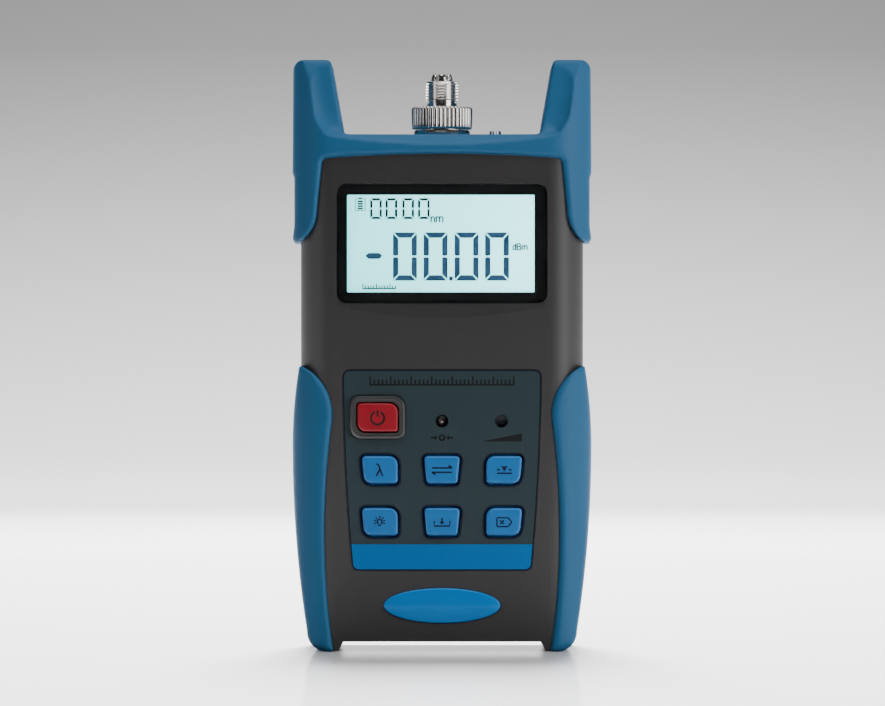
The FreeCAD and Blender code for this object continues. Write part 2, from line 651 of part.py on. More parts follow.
def key_corners(hand, margin):
    """A key's outline: outer sides lean in at the foot. hand is -1, 0 or +1."""
    half = "(key_width / 2 + %s)" % margin
    tall = "(key_height / 2 + %s)" % margin
    left_foot = "-%s" % half + (" + key_slant" if hand <= 0 else "")
    right_foot = half + (" - key_slant" if hand >= 0 else "")
    return [(left_foot, "-" + tall), (right_foot, "-" + tall), (half, tall), ("-" + half, tall)]


def key_slab(label, hand, margin, front, thick):
    """A key's plate: two opposite corners are rounder than the others."""
    corners = key_corners(hand, margin)
    body = slab(label, corners, front, thick)
    if hand == 0:
        return round_upright(body, corners, "key_nip + %s" % margin)
    large = corners[0::2] if hand < 0 else corners[1::2]
    small = corners[1::2] if hand < 0 else corners[0::2]
    round_upright(body, large, "key_round + %s" % margin)
    return round_upright(body, small, "key_nip + %s" % margin)


def power_slab(label, margin, large, small, front, thick):
    """The power button's or its collar's plate, rounder at two opposite corners."""
    half = "power_width / 2 + %s" % margin
    tall = "power_tall / 2 + %s" % margin
    corners = block("-(%s)" % half, half, "-(%s)" % tall, tall)
    body = slab(label, corners, front, thick)
    round_upright(body, corners[0::2], large)
    return round_upright(body, corners[1::2], small)


def seat(body, across, height):
    """Move a body from the origin to its place on the front."""
    bind(body, "Placement.Base.x", across)
    bind(body, "Placement.Base.z", height)
    return body


def oval(name, margin, front, thick):
    """The badge's ellipse as a plate; margin grows it all round."""
    ellipse = document.addObject("Part::Ellipse", name + "_outline")
    bind(ellipse, "MajorRadius", "badge_width / 2 + %s" % margin)
    bind(ellipse, "MinorRadius", "badge_tall / 2 + %s" % margin)
    ellipse.Placement.Rotation = FreeCAD.Rotation(FreeCAD.Vector(1, 0, 0), 90)
    bind(ellipse, "Placement.Base.y", "-(%s)" % front)
    bind(ellipse, "Placement.Base.z", "badge_height")
    plate = document.addObject("Part::Extrusion", name)
    plate.Base = ellipse
    plate.DirMode = "Custom"
    plate.Dir = FreeCAD.Vector(0, 1, 0)
    plate.Solid = True
    bind(plate, "LengthFwd", thick)
    return plate


def upright(label, radius, foot, top, across="0", ahead="0"):
    """A round bar along Z."""
    body = new_body(label)
    sketch = new_sketch(body, "XY_Plane", foot)
    draw_circle(sketch, radius, across, "-(%s)" % ahead)
    pad(body, sketch, "(%s) - (%s)" % (top, foot))
    return body


guard_plate = top_guard_outline()
grip_plate = grip_outline()
other_grip_plate = mirrored("other_grip_plate", grip_plate)
housing = make_housing()

# ---------------------------------------------------------------- shared places
KEYS = [
    ("wavelength_key", -1, "upper_row"),
    ("units_key", 0, "upper_row"),
    ("reference_key", 1, "upper_row"),
    ("backlight_key", -1, "lower_row"),
    ("save_key", 0, "lower_row"),
    ("delete_key", 1, "lower_row"),
]
KEY_PLACES = [("%d * key_pitch" % hand, row) for _, hand, row in KEYS]
POWER_PLACE = ("power_across", "power_height")
LIP_FRONT = INNER_FACE + " - key_float"
DOME_FRONT = LIP_FRONT + " - lip_thick - key_travel - key_float"
MAT_FRONT = "board_depth + mat_thick"
WINDOW_FRONT = FACE + " - window_sunk"
LEDGE_BACK = WINDOW_FRONT + " - window_thick - window_ledge"
BOSSES = [(side + place, height) for side in ("", "-") for place, height in
          (("boss_across", "boss_upper"), ("boss_across", "boss_lower"))]
PILLARS = [(side + place, height) for side in ("", "-") for place, height in
           (("pillar_across", "pillar_upper"), ("pillar_across", "pillar_lower"))]
BAY_HALF = "cell_pitch + cell_radius + bay_side"
CELL_FOOT = "bay_foot + spring_room"
BAY_TOP = CELL_FOOT + " + cell_length + button_rise + contact_gap + contact_thick"
CELL_AHEAD = FACE + " - door_thick - cell_radius - bay_side"
HEAD_SEAT = FACE + " - head_sunk"
GLASS_FRONT = LEDGE_BACK
GUIDE_FRONT = "board_depth + guide_thick"


# ---------------------------------------------------------------- front case
def window_facet():
    """The tool for the crescent facet: a shallow cone turned about a line along Y."""
    body = new_body("facet_tool")
    sketch = new_sketch(body, "YZ_Plane")
    front = "-(%s)" % FACE
    draw(sketch, [(front + " - over", "-smile_radius"), (front, "-smile_radius"),
                  (front + " + smile_depth", "smile_drop - smile_radius"),
                  (front + " - over", "smile_drop - smile_radius")])
    feature = body.newObject("PartDesign::Revolution", "facet_turn")
    feature.Profile = sketch
    feature.ReferenceAxis = (sketch, ["H_Axis"])
    feature.Midplane = True
    bind(feature, "Angle", "2 * asin((window_width / 2 - smile_in) / smile_radius)")
    body.Tip = feature
    bind(body, "Placement.Base.z",
         "window_middle - window_height / 2 - smile_drop + smile_radius")
    return body


def key_openings(name, front, thick):
    """Every opening that the keys, sensor and trimmer need in the film or the wall."""
    tools = []
    for (label, hand, _), place in zip(KEYS, KEY_PLACES):
        tool = key_slab("%s_%s" % (name, label), hand, "key_gap", front, thick)
        tools.append(seat(tool, *place))
    for label, place in (("sensor", "sensor_across"), ("trimmer", "trimmer_across")):
        tools.append(rod("%s_%s" % (name, label), "port_radius", front, thick,
                         place, "port_height"))
    return tools


def make_front_case():
    half = section("front_half", HALF + " + through", "case_depth / 4 + 2 * over", "over / 2",
                   "-through", "case_top + through")
    bind(half, "Placement.Base.y", "-(case_depth / 4 + 2 * over)")
    shell = common("front_shell", housing, half)
    added = [shell]
    added.append(window_slab("window_frame", "window_gap + window_rim", WINDOW_FRONT,
                             "window_thick + window_ledge"))
    collar = power_slab("power_collar", "power_gap + collar_rim", "collar_round", "collar_nip",
                        FACE + " + collar_proud", "collar_proud + face_wall / 2")
    chamfer_front(collar, "collar_rim / 3", FACE + " + collar_proud")
    added.append(seat(collar, *POWER_PLACE))
    for index, place in enumerate(PILLARS):
        added.append(rod("pillar_%d" % index, "pillar_radius", INNER_FACE + " + weld",
                         INNER_FACE + " + weld - board_depth", *place))
    for index, place in enumerate(BOSSES):
        added.append(rod("front_boss_%d" % index, "boss_radius", INNER_FACE + " + weld",
                         INNER_FACE + " + weld", *place))
    tools = [
        window_slab("window_recess", "window_gap", FACE + " + over",
                    "over + window_sunk + window_thick"),
        rectangle_slab("view_opening", "view_width / 2 + view_margin",
                       "view_height / 2 + view_margin", FACE, "face_wall + through",
                       "window_middle"),
        window_facet(),
        seat(power_slab("power_opening", "power_gap", "key_round + power_gap",
                        "key_nip + power_gap", FACE + " + through", "face_wall + 2 * through"),
             *POWER_PLACE),
        oval("badge_recess", "film_gap", FACE + " + over", "over + badge_sunk"),
        upright("port_hole_front", "base_radius + rubber_gap", "case_top - through",
                "case_top + through"),
        upright("lanyard_hole_front", "lanyard_thread + running_gap", "case_top - through",
                "case_top + through", "lanyard_across", "lanyard_ahead"),
    ]
    panel = panel_slab("panel_recess", "film_gap", FACE + " + over",
                       "over + film_sunk + film_thick")
    collar_room = seat(power_slab("collar_room", "power_gap + collar_rim", "collar_round",
                                  "collar_nip", FACE + " + 2 * over", "face_wall + 2 * over"),
                       *POWER_PLACE)
    tools.append(cut("panel_tool", panel, collar_room))
    tools += key_openings("wall", FACE + " + over", "face_wall + 3 * over")
    for index, place in enumerate(PILLARS):
        tools.append(rod("pillar_bore_%d" % index, "board_screw + running_gap",
                         "board_depth + board_screw_length", "board_screw_length + over", *place))
    for index, place in enumerate(BOSSES):
        tools.append(rod("boss_bore_%d" % index, "screw_radius + running_gap",
                         "screw_length - case_depth / 2 + head_sunk + tip_room", "case_depth",
                         *place))
    return cut("front_case", fuse("front_solid", *added), *tools)


# ---------------------------------------------------------------- rear case and battery door
def tab_slots(name, margin, foot, top, front, thick):
    """One plate for each of the door's two foot tabs."""
    made = []
    for index, side in enumerate(("", "-")):
        made.append(rectangle_slab("%s_%d" % (name, index), "tab_width / 2 + %s" % margin,
                                   "((%s) - (%s)) / 2" % (top, foot), "-(%s)" % front, thick,
                                   "((%s) + (%s)) / 2" % (top, foot), side + "tab_across"))
    return made


def make_rear_case():
    half = section("rear_half", HALF + " + through", "case_depth / 4 + 2 * over", "over / 2",
                   "-through", "case_top + through")
    bind(half, "Placement.Base.y", "case_depth / 4 + 2 * over")
    added = [common("rear_shell", housing, half)]
    tray_half = BAY_HALF + " + bay_rim"
    tray_front = CELL_AHEAD + " - cell_radius - bay_side - bay_wall"
    tray_tall = "(%s - bay_foot) / 2" % BAY_TOP
    bay_middle = "(%s + bay_foot) / 2" % BAY_TOP
    added.append(rectangle_slab("tray", tray_half, tray_tall + " + bay_rim",
                                "-(%s)" % tray_front, "%s + weld - (%s)" % (INNER_FACE, tray_front),
                                bay_middle))
    for index, place in enumerate(BOSSES):
        added.append(rod("rear_boss_%d" % index, "boss_radius", "0",
                         INNER_FACE + " + weld", *place))
    tools = [
        rectangle_slab("bay", BAY_HALF, tray_tall, "-(%s + bay_wall)" % tray_front,
                       "case_depth", bay_middle),
        rectangle_slab("door_recess", BAY_HALF + " + door_rest + door_gap",
                       tray_tall + " + door_rest + door_gap", "-(%s - door_thick)" % FACE,
                       "door_thick + over", bay_middle),
        upright("port_hole_rear", "base_radius + rubber_gap", "case_top - through",
                "case_top + through"),
    ]
    slot_front = FACE + " - door_thick - tab_thick - tab_room"
    tools += tab_slots("tab_slot", "tab_play", "bay_foot - door_rest - tab_reach - tab_end_room",
                       "bay_foot + weld / 2", slot_front, "tab_thick + tab_room")
    for index, place in enumerate(BOSSES):
        tools.append(rod("rear_bore_%d" % index, "screw_radius + bore_gap", "through", "case_depth",
                         *place))
        tools.append(rod("counterbore_%d" % index, "screw_head + head_gap", "-(%s)" % HEAD_SEAT,
                         "head_sunk + over", *place))
    return cut("rear_case", fuse("rear_solid", *added), *tools)


def make_battery_door():
    """A plate with two foot tabs that hook behind the rear wall and a thumb notch."""
    tall = "(%s - bay_foot) / 2" % BAY_TOP
    middle = "(%s + bay_foot) / 2" % BAY_TOP
    plate = rectangle_slab("door_plate", BAY_HALF + " + door_rest", tall + " + door_rest",
                           "-(%s - door_thick)" % FACE, "door_thick", middle)
    notch = new_body("thumb_notch")
    sketch = new_sketch(notch, "YZ_Plane")
    draw_circle(sketch, "notch_radius", "case_depth / 2 + notch_radius - notch_depth",
                BAY_TOP + " - notch_drop")
    pad(notch, sketch, "notch_width", both=True)
    hook_front = FACE + " - door_thick - tab_thick - hook_step"
    hooks = tab_slots("door_tab", "0", "bay_foot - door_rest - tab_reach",
                      "bay_foot - hook_gap", hook_front, "tab_thick")
    arms = tab_slots("door_arm", "0", "bay_foot - door_rest + door_gap", "bay_foot - hook_gap",
                     hook_front, "tab_thick + hook_step + weld / 2")
    return cut("battery_door", fuse("door_solid", plate, *hooks, *arms), notch)


# ---------------------------------------------------------------- rubber guards
def is_rim(shape, edge):
    """True on an edge where the rubber's outer face meets its own side walls."""
    faces = shape.ancestorsOfType(edge, Part.Face)
    if len(faces) != 2:
        return False
    middle = edge.valueAt(sum(edge.ParameterRange) / 2)
    normals = []
    for face in faces:
        u, v = face.Surface.parameter(middle)
        normals.append(face.normalAt(u, v))
    flat = min(abs(normal.y) for normal in normals)
    open_face = max(abs(normal.y) for normal in normals)
    return flat < 0.01 and open_face > 0.6 and normals[0].dot(normals[1]) < 0.8


def soften(name, source):
    """Round the rubber's rims, front and rear."""
    document.recompute()
    radius = value("soft_edge")
    shape = source.Shape
    rounded = document.addObject("Part::Fillet", name)
    rounded.Base = source
    rounded.Edges = [(index + 1, radius, radius) for index, edge in enumerate(shape.Edges)
                     if is_rim(shape, edge)]
    document.recompute()
    return rounded


def horn_tool(label, side):
    """The sweep that thins the horns' front (side -1) or rear (side +1)."""
    body = new_body(label)
    sketch = new_sketch(body, "YZ_Plane")
    sign = "-" if side < 0 else ""
    away = "%s(%s + 2 * over)" % (sign, RUBBER_FACE)
    start = "%s(%s)" % (sign, RUBBER_FACE)
    end = "%s(%s - horn_thin)" % (sign, RUBBER_FACE)
    top = HORN_TOP + " + 2 * over"
    draw(sketch, [(start, "case_top + sweep_start"), (end, HORN_TOP), (end, top), (away, top),
                  (away, "case_top + sweep_start")], {0: ("horn_sweep", -side)})
    pad(body, sketch, "case_width + 4 * through", both=True)
    return body


def scoop_tool(label, side):
    """The drafted scoop behind the bar that thins the horns, front (side -1) or rear (side +1)."""
    guard_side = HALF + " + guard_flank"
    right = [(guard_side + " - scoop_in", "case_top + scoop_low"),
             (guard_side + " - scoop_turn_in", "case_top + scoop_turn_rise"),
             (guard_side + " - scoop_side_in", "case_top + scoop_side_rise"),
             (guard_side + " - scoop_upper_in", "case_top + scoop_upper_rise"),
             (guard_side + " - scoop_upper_in + scoop_lean", HORN_TOP + " + through")]
    left = [("-(%s)" % u, v) for u, v in reversed(right)]
    arcs = {1: ("scoop_turn_radius", +1), 2: ("scoop_side_radius", +1),
            6: ("scoop_side_radius", +1), 7: ("scoop_turn_radius", +1), 9: ("scoop_sag", +1)}
    body = new_body(label)
    ahead = RUBBER_FACE if side < 0 else "-(%s)" % RUBBER_FACE
    sketch = new_sketch(body, "XZ_Plane", ahead)
    draw(sketch, right + left, arcs)
    scoop = pad(body, sketch, "scoop_depth", reverse=side < 0)
    bind(scoop, "TaperAngle", "-scoop_draft")
    clear = pad(body, sketch, "over", reverse=side > 0)
    clear.Label = label + "_clear"
    document.recompute()
    return body


def make_rubber():
    block_side = HALF + " + guard_flank + over"
    envelope = section("rubber_envelope", block_side, RUBBER_FACE,
                       "rubber_corner", "-over", HORN_TOP + " + over")
    room = section("rubber_room", HALF + " - rubber_rebate + rubber_gap",
                   FACE + " - rubber_rebate + rubber_gap",
                   "case_corner - rubber_rebate + rubber_gap", "foot_lift - rubber_gap",
                   "case_top + rubber_gap")
    room_plate = housing_plate("room_plate", HALF + " - rubber_rebate + rubber_gap",
                               HALF + " - grip_toe_in - rubber_proud - rubber_rebate + rubber_gap",
                               "foot_lift - rubber_gap", "case_top + rubber_gap", True)
    inside = common("rubber_inside", room, room_plate)
    guard = common("guard_blank", guard_plate, envelope)
    guard = cut("guard_swept", guard, horn_tool("front_sweep", -1), horn_tool("rear_sweep", +1),
                scoop_tool("front_scoop", -1), scoop_tool("rear_scoop", +1))
    guard = soften("guard_soft", guard)
    port = upright("guard_port", "base_radius + rubber_gap", "case_top - through",
                   BAR_TOP + " + through")
    hole = upright("guard_lanyard", "lanyard_thread + bore_gap", "case_top - through",
                   BAR_TOP + " + through", "lanyard_across", "lanyard_ahead")
    guard = cut("top_guard", guard, inside, port, hole)
    document.recompute()
    blank = grip_plate.Shape.common(envelope.Shape)
    rims = [edge for edge in blank.Edges if is_rim(blank, edge)
            and edge.CenterOfMass.z > value("grip_toe")
            and edge.CenterOfMass.x < value(HALF + " - grip_toe_in - rubber_proud")]
    grip = document.addObject("Part::Feature", "right_grip")
    grip.Shape = blank.makeFillet(value("soft_edge"), rims).cut(inside.Shape)
    return guard, grip, mirrored("left_grip", grip)


# ---------------------------------------------------------------- display
def make_display():
    half_width = "view_width / 2 + glass_border"
    half_height = "view_height / 2 + glass_border"
    window = window_slab("lcd_window", "0", WINDOW_FRONT, "window_thick")
    panel = rectangle_slab("lcd_panel", half_width, half_height, GLASS_FRONT, "glass_thick",
                           "window_middle")
    guide = rectangle_slab("lcd_backlight", half_width, half_height + " - strip_width - strip_gap",
                           GUIDE_FRONT, "guide_thick", "window_middle")
    strips = []
    for index, side in enumerate(("+", "-")):
        middle = "window_middle %s (%s - strip_width / 2)" % (side, half_height)
        strips.append(rectangle_slab("strip_%d" % index, half_width + " - strip_in",
                                     "strip_width / 2", GLASS_FRONT + " - glass_thick",
                                     GLASS_FRONT + " - glass_thick - board_depth", middle))
    return window, panel, guide, fuse("elastomer_strips", *strips)


# ---------------------------------------------------------------- keypad
def make_film():
    """The printed film, cut out for the keys, the collar, the sensor and the trimmer."""
    film = panel_slab("film_blank", "0", FACE + " - film_sunk", "film_thick")
    tools = key_openings("film", FACE + " + over", "face_wall")
    tools.append(seat(power_slab("film_collar", "power_gap + collar_rim + film_gap",
                                 "collar_round + film_gap", "collar_nip + film_gap",
                                 FACE + " + over", "face_wall"), *POWER_PLACE))
    return cut("keypad_overlay", film, *tools)


def add_lip(body, half_width, half_height):
    """The lip behind the front wall that keeps a key in the case."""
    sketch = new_sketch(body, "XZ_Plane", LIP_FRONT)
    draw(sketch, block("-(%s)" % half_width, half_width, "-(%s)" % half_height, half_height))
    pad(body, sketch, "lip_thick", reverse=True)
    return body


def make_keys():
    made = []
    for (label, hand, _), place in zip(KEYS, KEY_PLACES):
        cap = key_slab(label, hand, "0", FACE + " + key_proud",
                       "key_proud + face_wall + key_float + lip_thick / 2")
        chamfer_front(cap, "key_edge", FACE + " + key_proud")
        add_lip(cap, "key_width / 2 + key_gap + key_lip", "key_height / 2 + key_gap + key_lip")
        made.append(seat(cap, *place))
    button = power_slab("power_button", "0", "key_round", "key_nip", FACE + " + power_proud",
                        "power_proud + face_wall + key_float + lip_thick / 2")
    chamfer_front(button, "key_edge", FACE + " + power_proud")
    add_lip(button, "power_width / 2 + power_gap + key_lip",
            "power_tall / 2 + power_gap + key_lip")
    made.append(seat(button, *POWER_PLACE))
    return made


def make_mat():
    """The silicone mat: an L-shaped sheet with a dome under each key."""
    edge = "key_pitch + key_width / 2 + mat_margin"
    branch = "power_across + power_width / 2 + mat_branch"
    foot = "lower_row - key_height / 2 - mat_margin"
    waist = "upper_row + key_height / 2 + mat_waist"
    top = "power_height + power_tall / 2 + mat_margin"
    sheet_plate = slab("mat_sheet", [("-(%s)" % edge, foot), (edge, foot), (edge, waist),
                                     (branch, waist), (branch, top), ("-(%s)" % edge, top)],
                       MAT_FRONT, "mat_thick")
    domes = [rod("dome_%d" % index, "dome_radius", DOME_FRONT,
                 DOME_FRONT + " - board_depth - mat_thick / 2", *place)
             for index, place in enumerate(KEY_PLACES + [POWER_PLACE])]
    return fuse("keypad_mat", sheet_plate, *domes)


def make_sensor():
    """A dome-ended light sensor that stands on the board behind its hole."""
    body = turned("light_sensor", [
        ("0", "0"), ("sensor_flange", "0"), ("sensor_flange", "sensor_rim"),
        ("sensor_radius", "sensor_rim"),
        ("sensor_radius", "sensor_length - sensor_radius"), ("0", "sensor_length")],
        {4: ("sensor_radius", +1)})
    return face_forward(body, "sensor_across", "board_depth", "port_height")


def face_forward(body, across, ahead, height):
    """Turn a body's +Z to the front and set it down ahead of the middle plane."""
    body.Placement.Rotation = FreeCAD.Rotation(FreeCAD.Vector(1, 0, 0), 90)
    bind(body, "Placement.Base.x", across)
    bind(body, "Placement.Base.y", "-(%s)" % ahead)
    bind(body, "Placement.Base.z", height)
    return body


def make_trimmer():
    """A square base on the board with a slotted rotor in its round well."""
    top = "board_depth + trimmer_thick"
    base = rectangle_slab("trimmer_block", "trimmer_side / 2", "trimmer_side / 2", top,
                          "trimmer_thick", "port_height", "trimmer_across")
    well = rod("trimmer_well", "rotor_radius + running_gap", top + " + over",
               "rotor_thick / 2 + over + running_gap", "trimmer_across", "port_height")
    rotor = rod("rotor_blank", "rotor_radius", top + " + rotor_thick / 2", "rotor_thick",
                "trimmer_across", "port_height")
    arms = []
    for index, (wide, tall) in enumerate((("rotor_radius", "rotor_slot / 2"),
                                          ("rotor_slot / 2", "rotor_radius"))):
        arms.append(rectangle_slab("rotor_slot_%d" % index, wide, tall,
                                   top + " + rotor_thick / 2 + over", "rotor_thick / 3 + over",
                                   "port_height", "trimmer_across"))
    return cut("trimmer_base", base, well), cut("trimmer_rotor", rotor, *arms)


def make_badge():
    plate = oval("badge_plate", "0", FACE + " - badge_sunk + badge_thick", "badge_thick")
    document.recompute()
    level = -value(FACE + " - badge_sunk + badge_thick")
    bevel = document.addObject("Part::Chamfer", "oval_badge")
    bevel.Base = plate
    size = value("badge_edge")
    bevel.Edges = [(index + 1, size, size) for index, edge in enumerate(plate.Shape.Edges)
                   if edge.BoundBox.YLength < 0.01 and abs(edge.BoundBox.YMin - level) < 0.01]
    return bevel


# ---------------------------------------------------------------- board, batteries, screws
def make_board():
    board = slab("board_blank", block("-board_half", "board_half", "board_foot", "board_top"),
                 "board_depth", "board_thick")
    holes = [rod("board_hole_%d" % index, "board_screw + board_play", "board_depth + over",
                 "board_thick + 2 * over", *place) for index, place in enumerate(PILLARS)]
    return cut("main_board", board, *holes)


def screw(name, index, thread, length, head, thick, head_level, place):
    """A pan-head screw along -Y; head_level is where its head's seat lies."""
    shank = rod("%s_shank_%d" % (name, index), thread, "%s - (%s)" % (length, head_level),
                length, *place)
    cap = rod("%s_head_%d" % (name, index), head, "-(%s)" % head_level, thick, *place)
    return fuse("%s_%d" % (name, index), shank, cap)


def make_screws():
    case = [screw("case_screw", index, "screw_radius", "screw_length", "screw_head",
                  "head_thick", HEAD_SEAT, place) for index, place in enumerate(BOSSES)]
    seat_level = "board_thick - board_depth"
    board = [screw("board_screw", index, "board_screw", "board_screw_length + board_thick",
                   "board_head", "board_head_thick", seat_level, place)
             for index, place in enumerate(PILLARS)]
    return fuse("case_screws", *case), fuse("board_screws", *board)


def make_cells():
    """Three cells side by side, the middle one upside down."""
    cells = []
    for index in (-1, 0, 1):
        label = "battery_cell_%d" % (index + 2)
        body = turned(label, [("0", "0"), ("cell_radius", "0"), ("cell_radius", "cell_length"),
                              ("button_radius", "cell_length"),
                              ("button_radius", "cell_length + button_rise"),
                              ("0", "cell_length + button_rise")])
        bind(body, "Placement.Base.x", "%d * cell_pitch" % index)
        bind(body, "Placement.Base.y", CELL_AHEAD)
        if index:
            bind(body, "Placement.Base.z", CELL_FOOT)
        else:
            body.Placement.Rotation = FreeCAD.Rotation(FreeCAD.Vector(1, 0, 0), 180)
            bind(body, "Placement.Base.z", BAY_TOP + " - spring_room")
        cells.append(body)
    return cells


def contact_profile(label, across, points):
    """A strip bent in the YZ plane and padded across the cell."""
    body = new_body(label)
    sketch = new_sketch(body, "YZ_Plane")
    draw(sketch, points)
    pad(body, sketch, "cell_radius * 1.3", both=True)
    bind(body, "Placement.Base.x", across)
    return body


def make_contacts():
    """A bent leaf at each cell's flat end and a flat plate at its button end."""
    springs, plates = [], []
    reach = "cell_radius * 0.7"
    for index in (-1, 0, 1):
        across = "%d * cell_pitch" % index
        up = index != 0
        wall = "bay_foot" if up else BAY_TOP
        far = BAY_TOP if up else "bay_foot"
        sign = "+" if up else "-"
        opposite = "-" if up else "+"
        tip = "%s %s (spring_room - contact_gap)" % (wall, sign)
        near = "%s - %s" % (CELL_AHEAD, reach)
        back = "%s + %s" % (CELL_AHEAD, reach)
        springs.append(contact_profile("leaf_%d" % (index + 2), across, [
            (near, wall), (back, wall), (back, "%s %s contact_thick" % (wall, sign)),
            (near + " + contact_thick", "%s %s contact_thick" % (wall, sign)),
            (CELL_AHEAD, "%s %s (contact_gap + contact_thick)" % (tip, opposite)),
            (back, "%s %s leaf_drop" % (tip, opposite)),
            (back, "%s %s (leaf_drop - contact_thick)" % (tip, opposite)),
            (CELL_AHEAD, tip), (near, "%s %s 2 * contact_thick" % (wall, sign))]))
        plates.append(contact_profile("plate_%d" % (index + 2), across, [
            (near, far), (back, far), (back, "%s %s contact_thick" % (far, opposite)),
            (near, "%s %s contact_thick" % (far, opposite))]))
    return fuse("contact_springs", *springs), fuse("contact_plates", *plates)


# ---------------------------------------------------------------- fibre port
def make_port():
    """The turned port: base, its nut, knurled ring, barrel, sleeve and photodiode."""
    wall_foot = "case_top - end_wall"
    nut_foot = wall_foot + " - nut_thick"
    base_foot = nut_foot + " - base_tail"
    spigot_top = PORT_SEAT + " + spigot_height"
    can_bore = "can_radius + running_gap"
    sleeve_bore = "sleeve_radius + sleeve_gap"
    can_top = base_foot + " + can_height"
    base = turned("adapter_base", [
        (can_bore, base_foot), ("base_radius", base_foot), ("base_radius", BAR_TOP),
        ("flange_radius", BAR_TOP), ("flange_radius + flange_bulge", BAR_TOP + " + port_step / 2"),
        ("flange_radius", PORT_SEAT),
        ("spigot_radius", PORT_SEAT), ("spigot_radius", spigot_top), (sleeve_bore, spigot_top),
        (sleeve_bore, can_top), (can_bore, can_top)])
    nut = turned("port_nut", [("base_radius + running_gap", nut_foot), ("nut_radius", nut_foot),
                              ("nut_radius", wall_foot), ("base_radius + running_gap", wall_foot)])
    lip_foot = RING_TOP + " - ring_lip"
    ring = turned("ring_blank", [
        ("spigot_radius + running_gap", RING_FOOT), ("ring_radius - ring_edge", RING_FOOT),
        ("ring_radius", RING_FOOT + " + ring_edge"), ("ring_radius", RING_TOP + " - ring_edge"),
        ("ring_radius - ring_edge", RING_TOP), ("ring_mouth", RING_TOP), ("ring_mouth", lip_foot),
        ("spigot_radius + running_gap", lip_foot)])
    ring = knurl(ring)
    flange_top = lip_foot + " - lip_gap"
    barrel = turned("barrel_blank", [
        ("sleeve_radius + running_gap", spigot_top + " + barrel_gap"),
        ("barrel_flange", spigot_top + " + barrel_gap"), ("barrel_flange", flange_top),
        ("neck_radius", flange_top), ("neck_radius", BARREL_FOOT),
        ("barrel_radius", BARREL_FOOT), ("barrel_radius", BARREL_TOP + " - barrel_edge"),
        ("barrel_radius - barrel_edge", BARREL_TOP), ("sleeve_radius + running_gap", BARREL_TOP)])
    slot = new_body("key_slot_tool")
    sketch = new_sketch(slot, "XY_Plane", BARREL_FOOT)
    draw(sketch, [("-key_slot / 2", "sleeve_radius + slot_floor"),
                  ("key_slot / 2", "sleeve_radius + slot_floor"),
                  ("key_slot / 2", "barrel_radius + over"),
                  ("-key_slot / 2", "barrel_radius + over")])
    pad(slot, sketch, "barrel_height + over")
    sleeve = turned("ferrule_sleeve", [
        ("ferrule_radius", PORT_SEAT + " + sleeve_seat"),
        ("sleeve_radius", PORT_SEAT + " + sleeve_seat"),
        ("sleeve_radius", BARREL_TOP + " + sleeve_rise - sleeve_edge"),
        ("sleeve_radius - sleeve_edge", BARREL_TOP + " + sleeve_rise"),
        ("ferrule_radius", BARREL_TOP + " + sleeve_rise")])
    can = turned("can_body", [("0", base_foot), ("can_radius", base_foot), ("can_radius", can_top),
                              ("0", can_top)])
    pins = []
    for index, (side, ahead) in enumerate((("pin_circle", "0"), ("-pin_circle", "0"),
                                           ("0", "pin_circle"))):
        pins.append(upright("can_pin_%d" % index, "pin_radius", base_foot + " - pin_length",
                            base_foot + " + weld", side, ahead))
    return (base, nut, ring, cut("adapter_barrel", barrel, slot), sleeve,
            fuse("detector_can", can, *pins))


def knurl(ring):
    """Cut the straight ridges round the ring as one groove and its polar pattern."""
    sketch = new_sketch(ring, "XY_Plane", RING_FOOT + " - over")
    half_groove = "ring_radius * 3.1416 / knurl_count * 0.8"
    draw(sketch, [("ring_radius - knurl_depth", "0"), ("ring_radius + weld / 2", "-" + half_groove),
                  ("ring_radius + weld / 2", half_groove)])
    groove = ring.newObject("PartDesign::Pocket", "knurl_groove")
    groove.Profile = sketch
    groove.Reversed = True
    bind(groove, "Length", "ring_height + 2 * over")
    ring.Tip = groove
    document.recompute()
    pattern = ring.newObject("PartDesign::PolarPattern", "knurl_pattern")
    pattern.Originals = [groove]
    pattern.Axis = (sketch, ["N_Axis"])
    pattern.Angle = 360
    bind(pattern, "Occurrences", "knurl_count")
    ring.Tip = pattern
    document.recompute()
    return ring


def make_lanyard_screw():
    """A pan-head screw through the guard and the housing's top wall."""
    body = turned("lanyard_screw", [
        ("0", "case_top - end_wall"), ("lanyard_thread", "case_top - end_wall"),
        ("lanyard_thread", BAR_TOP), ("lanyard_head", BAR_TOP),
        ("lanyard_head", BAR_TOP + " + lanyard_rise / 2"),
        ("lanyard_head * 0.55", BAR_TOP + " + lanyard_rise"),
        ("0", BAR_TOP + " + lanyard_rise")])
    bind(body, "Placement.Base.x", "lanyard_across")
    bind(body, "Placement.Base.y", "-lanyard_ahead")
    return body


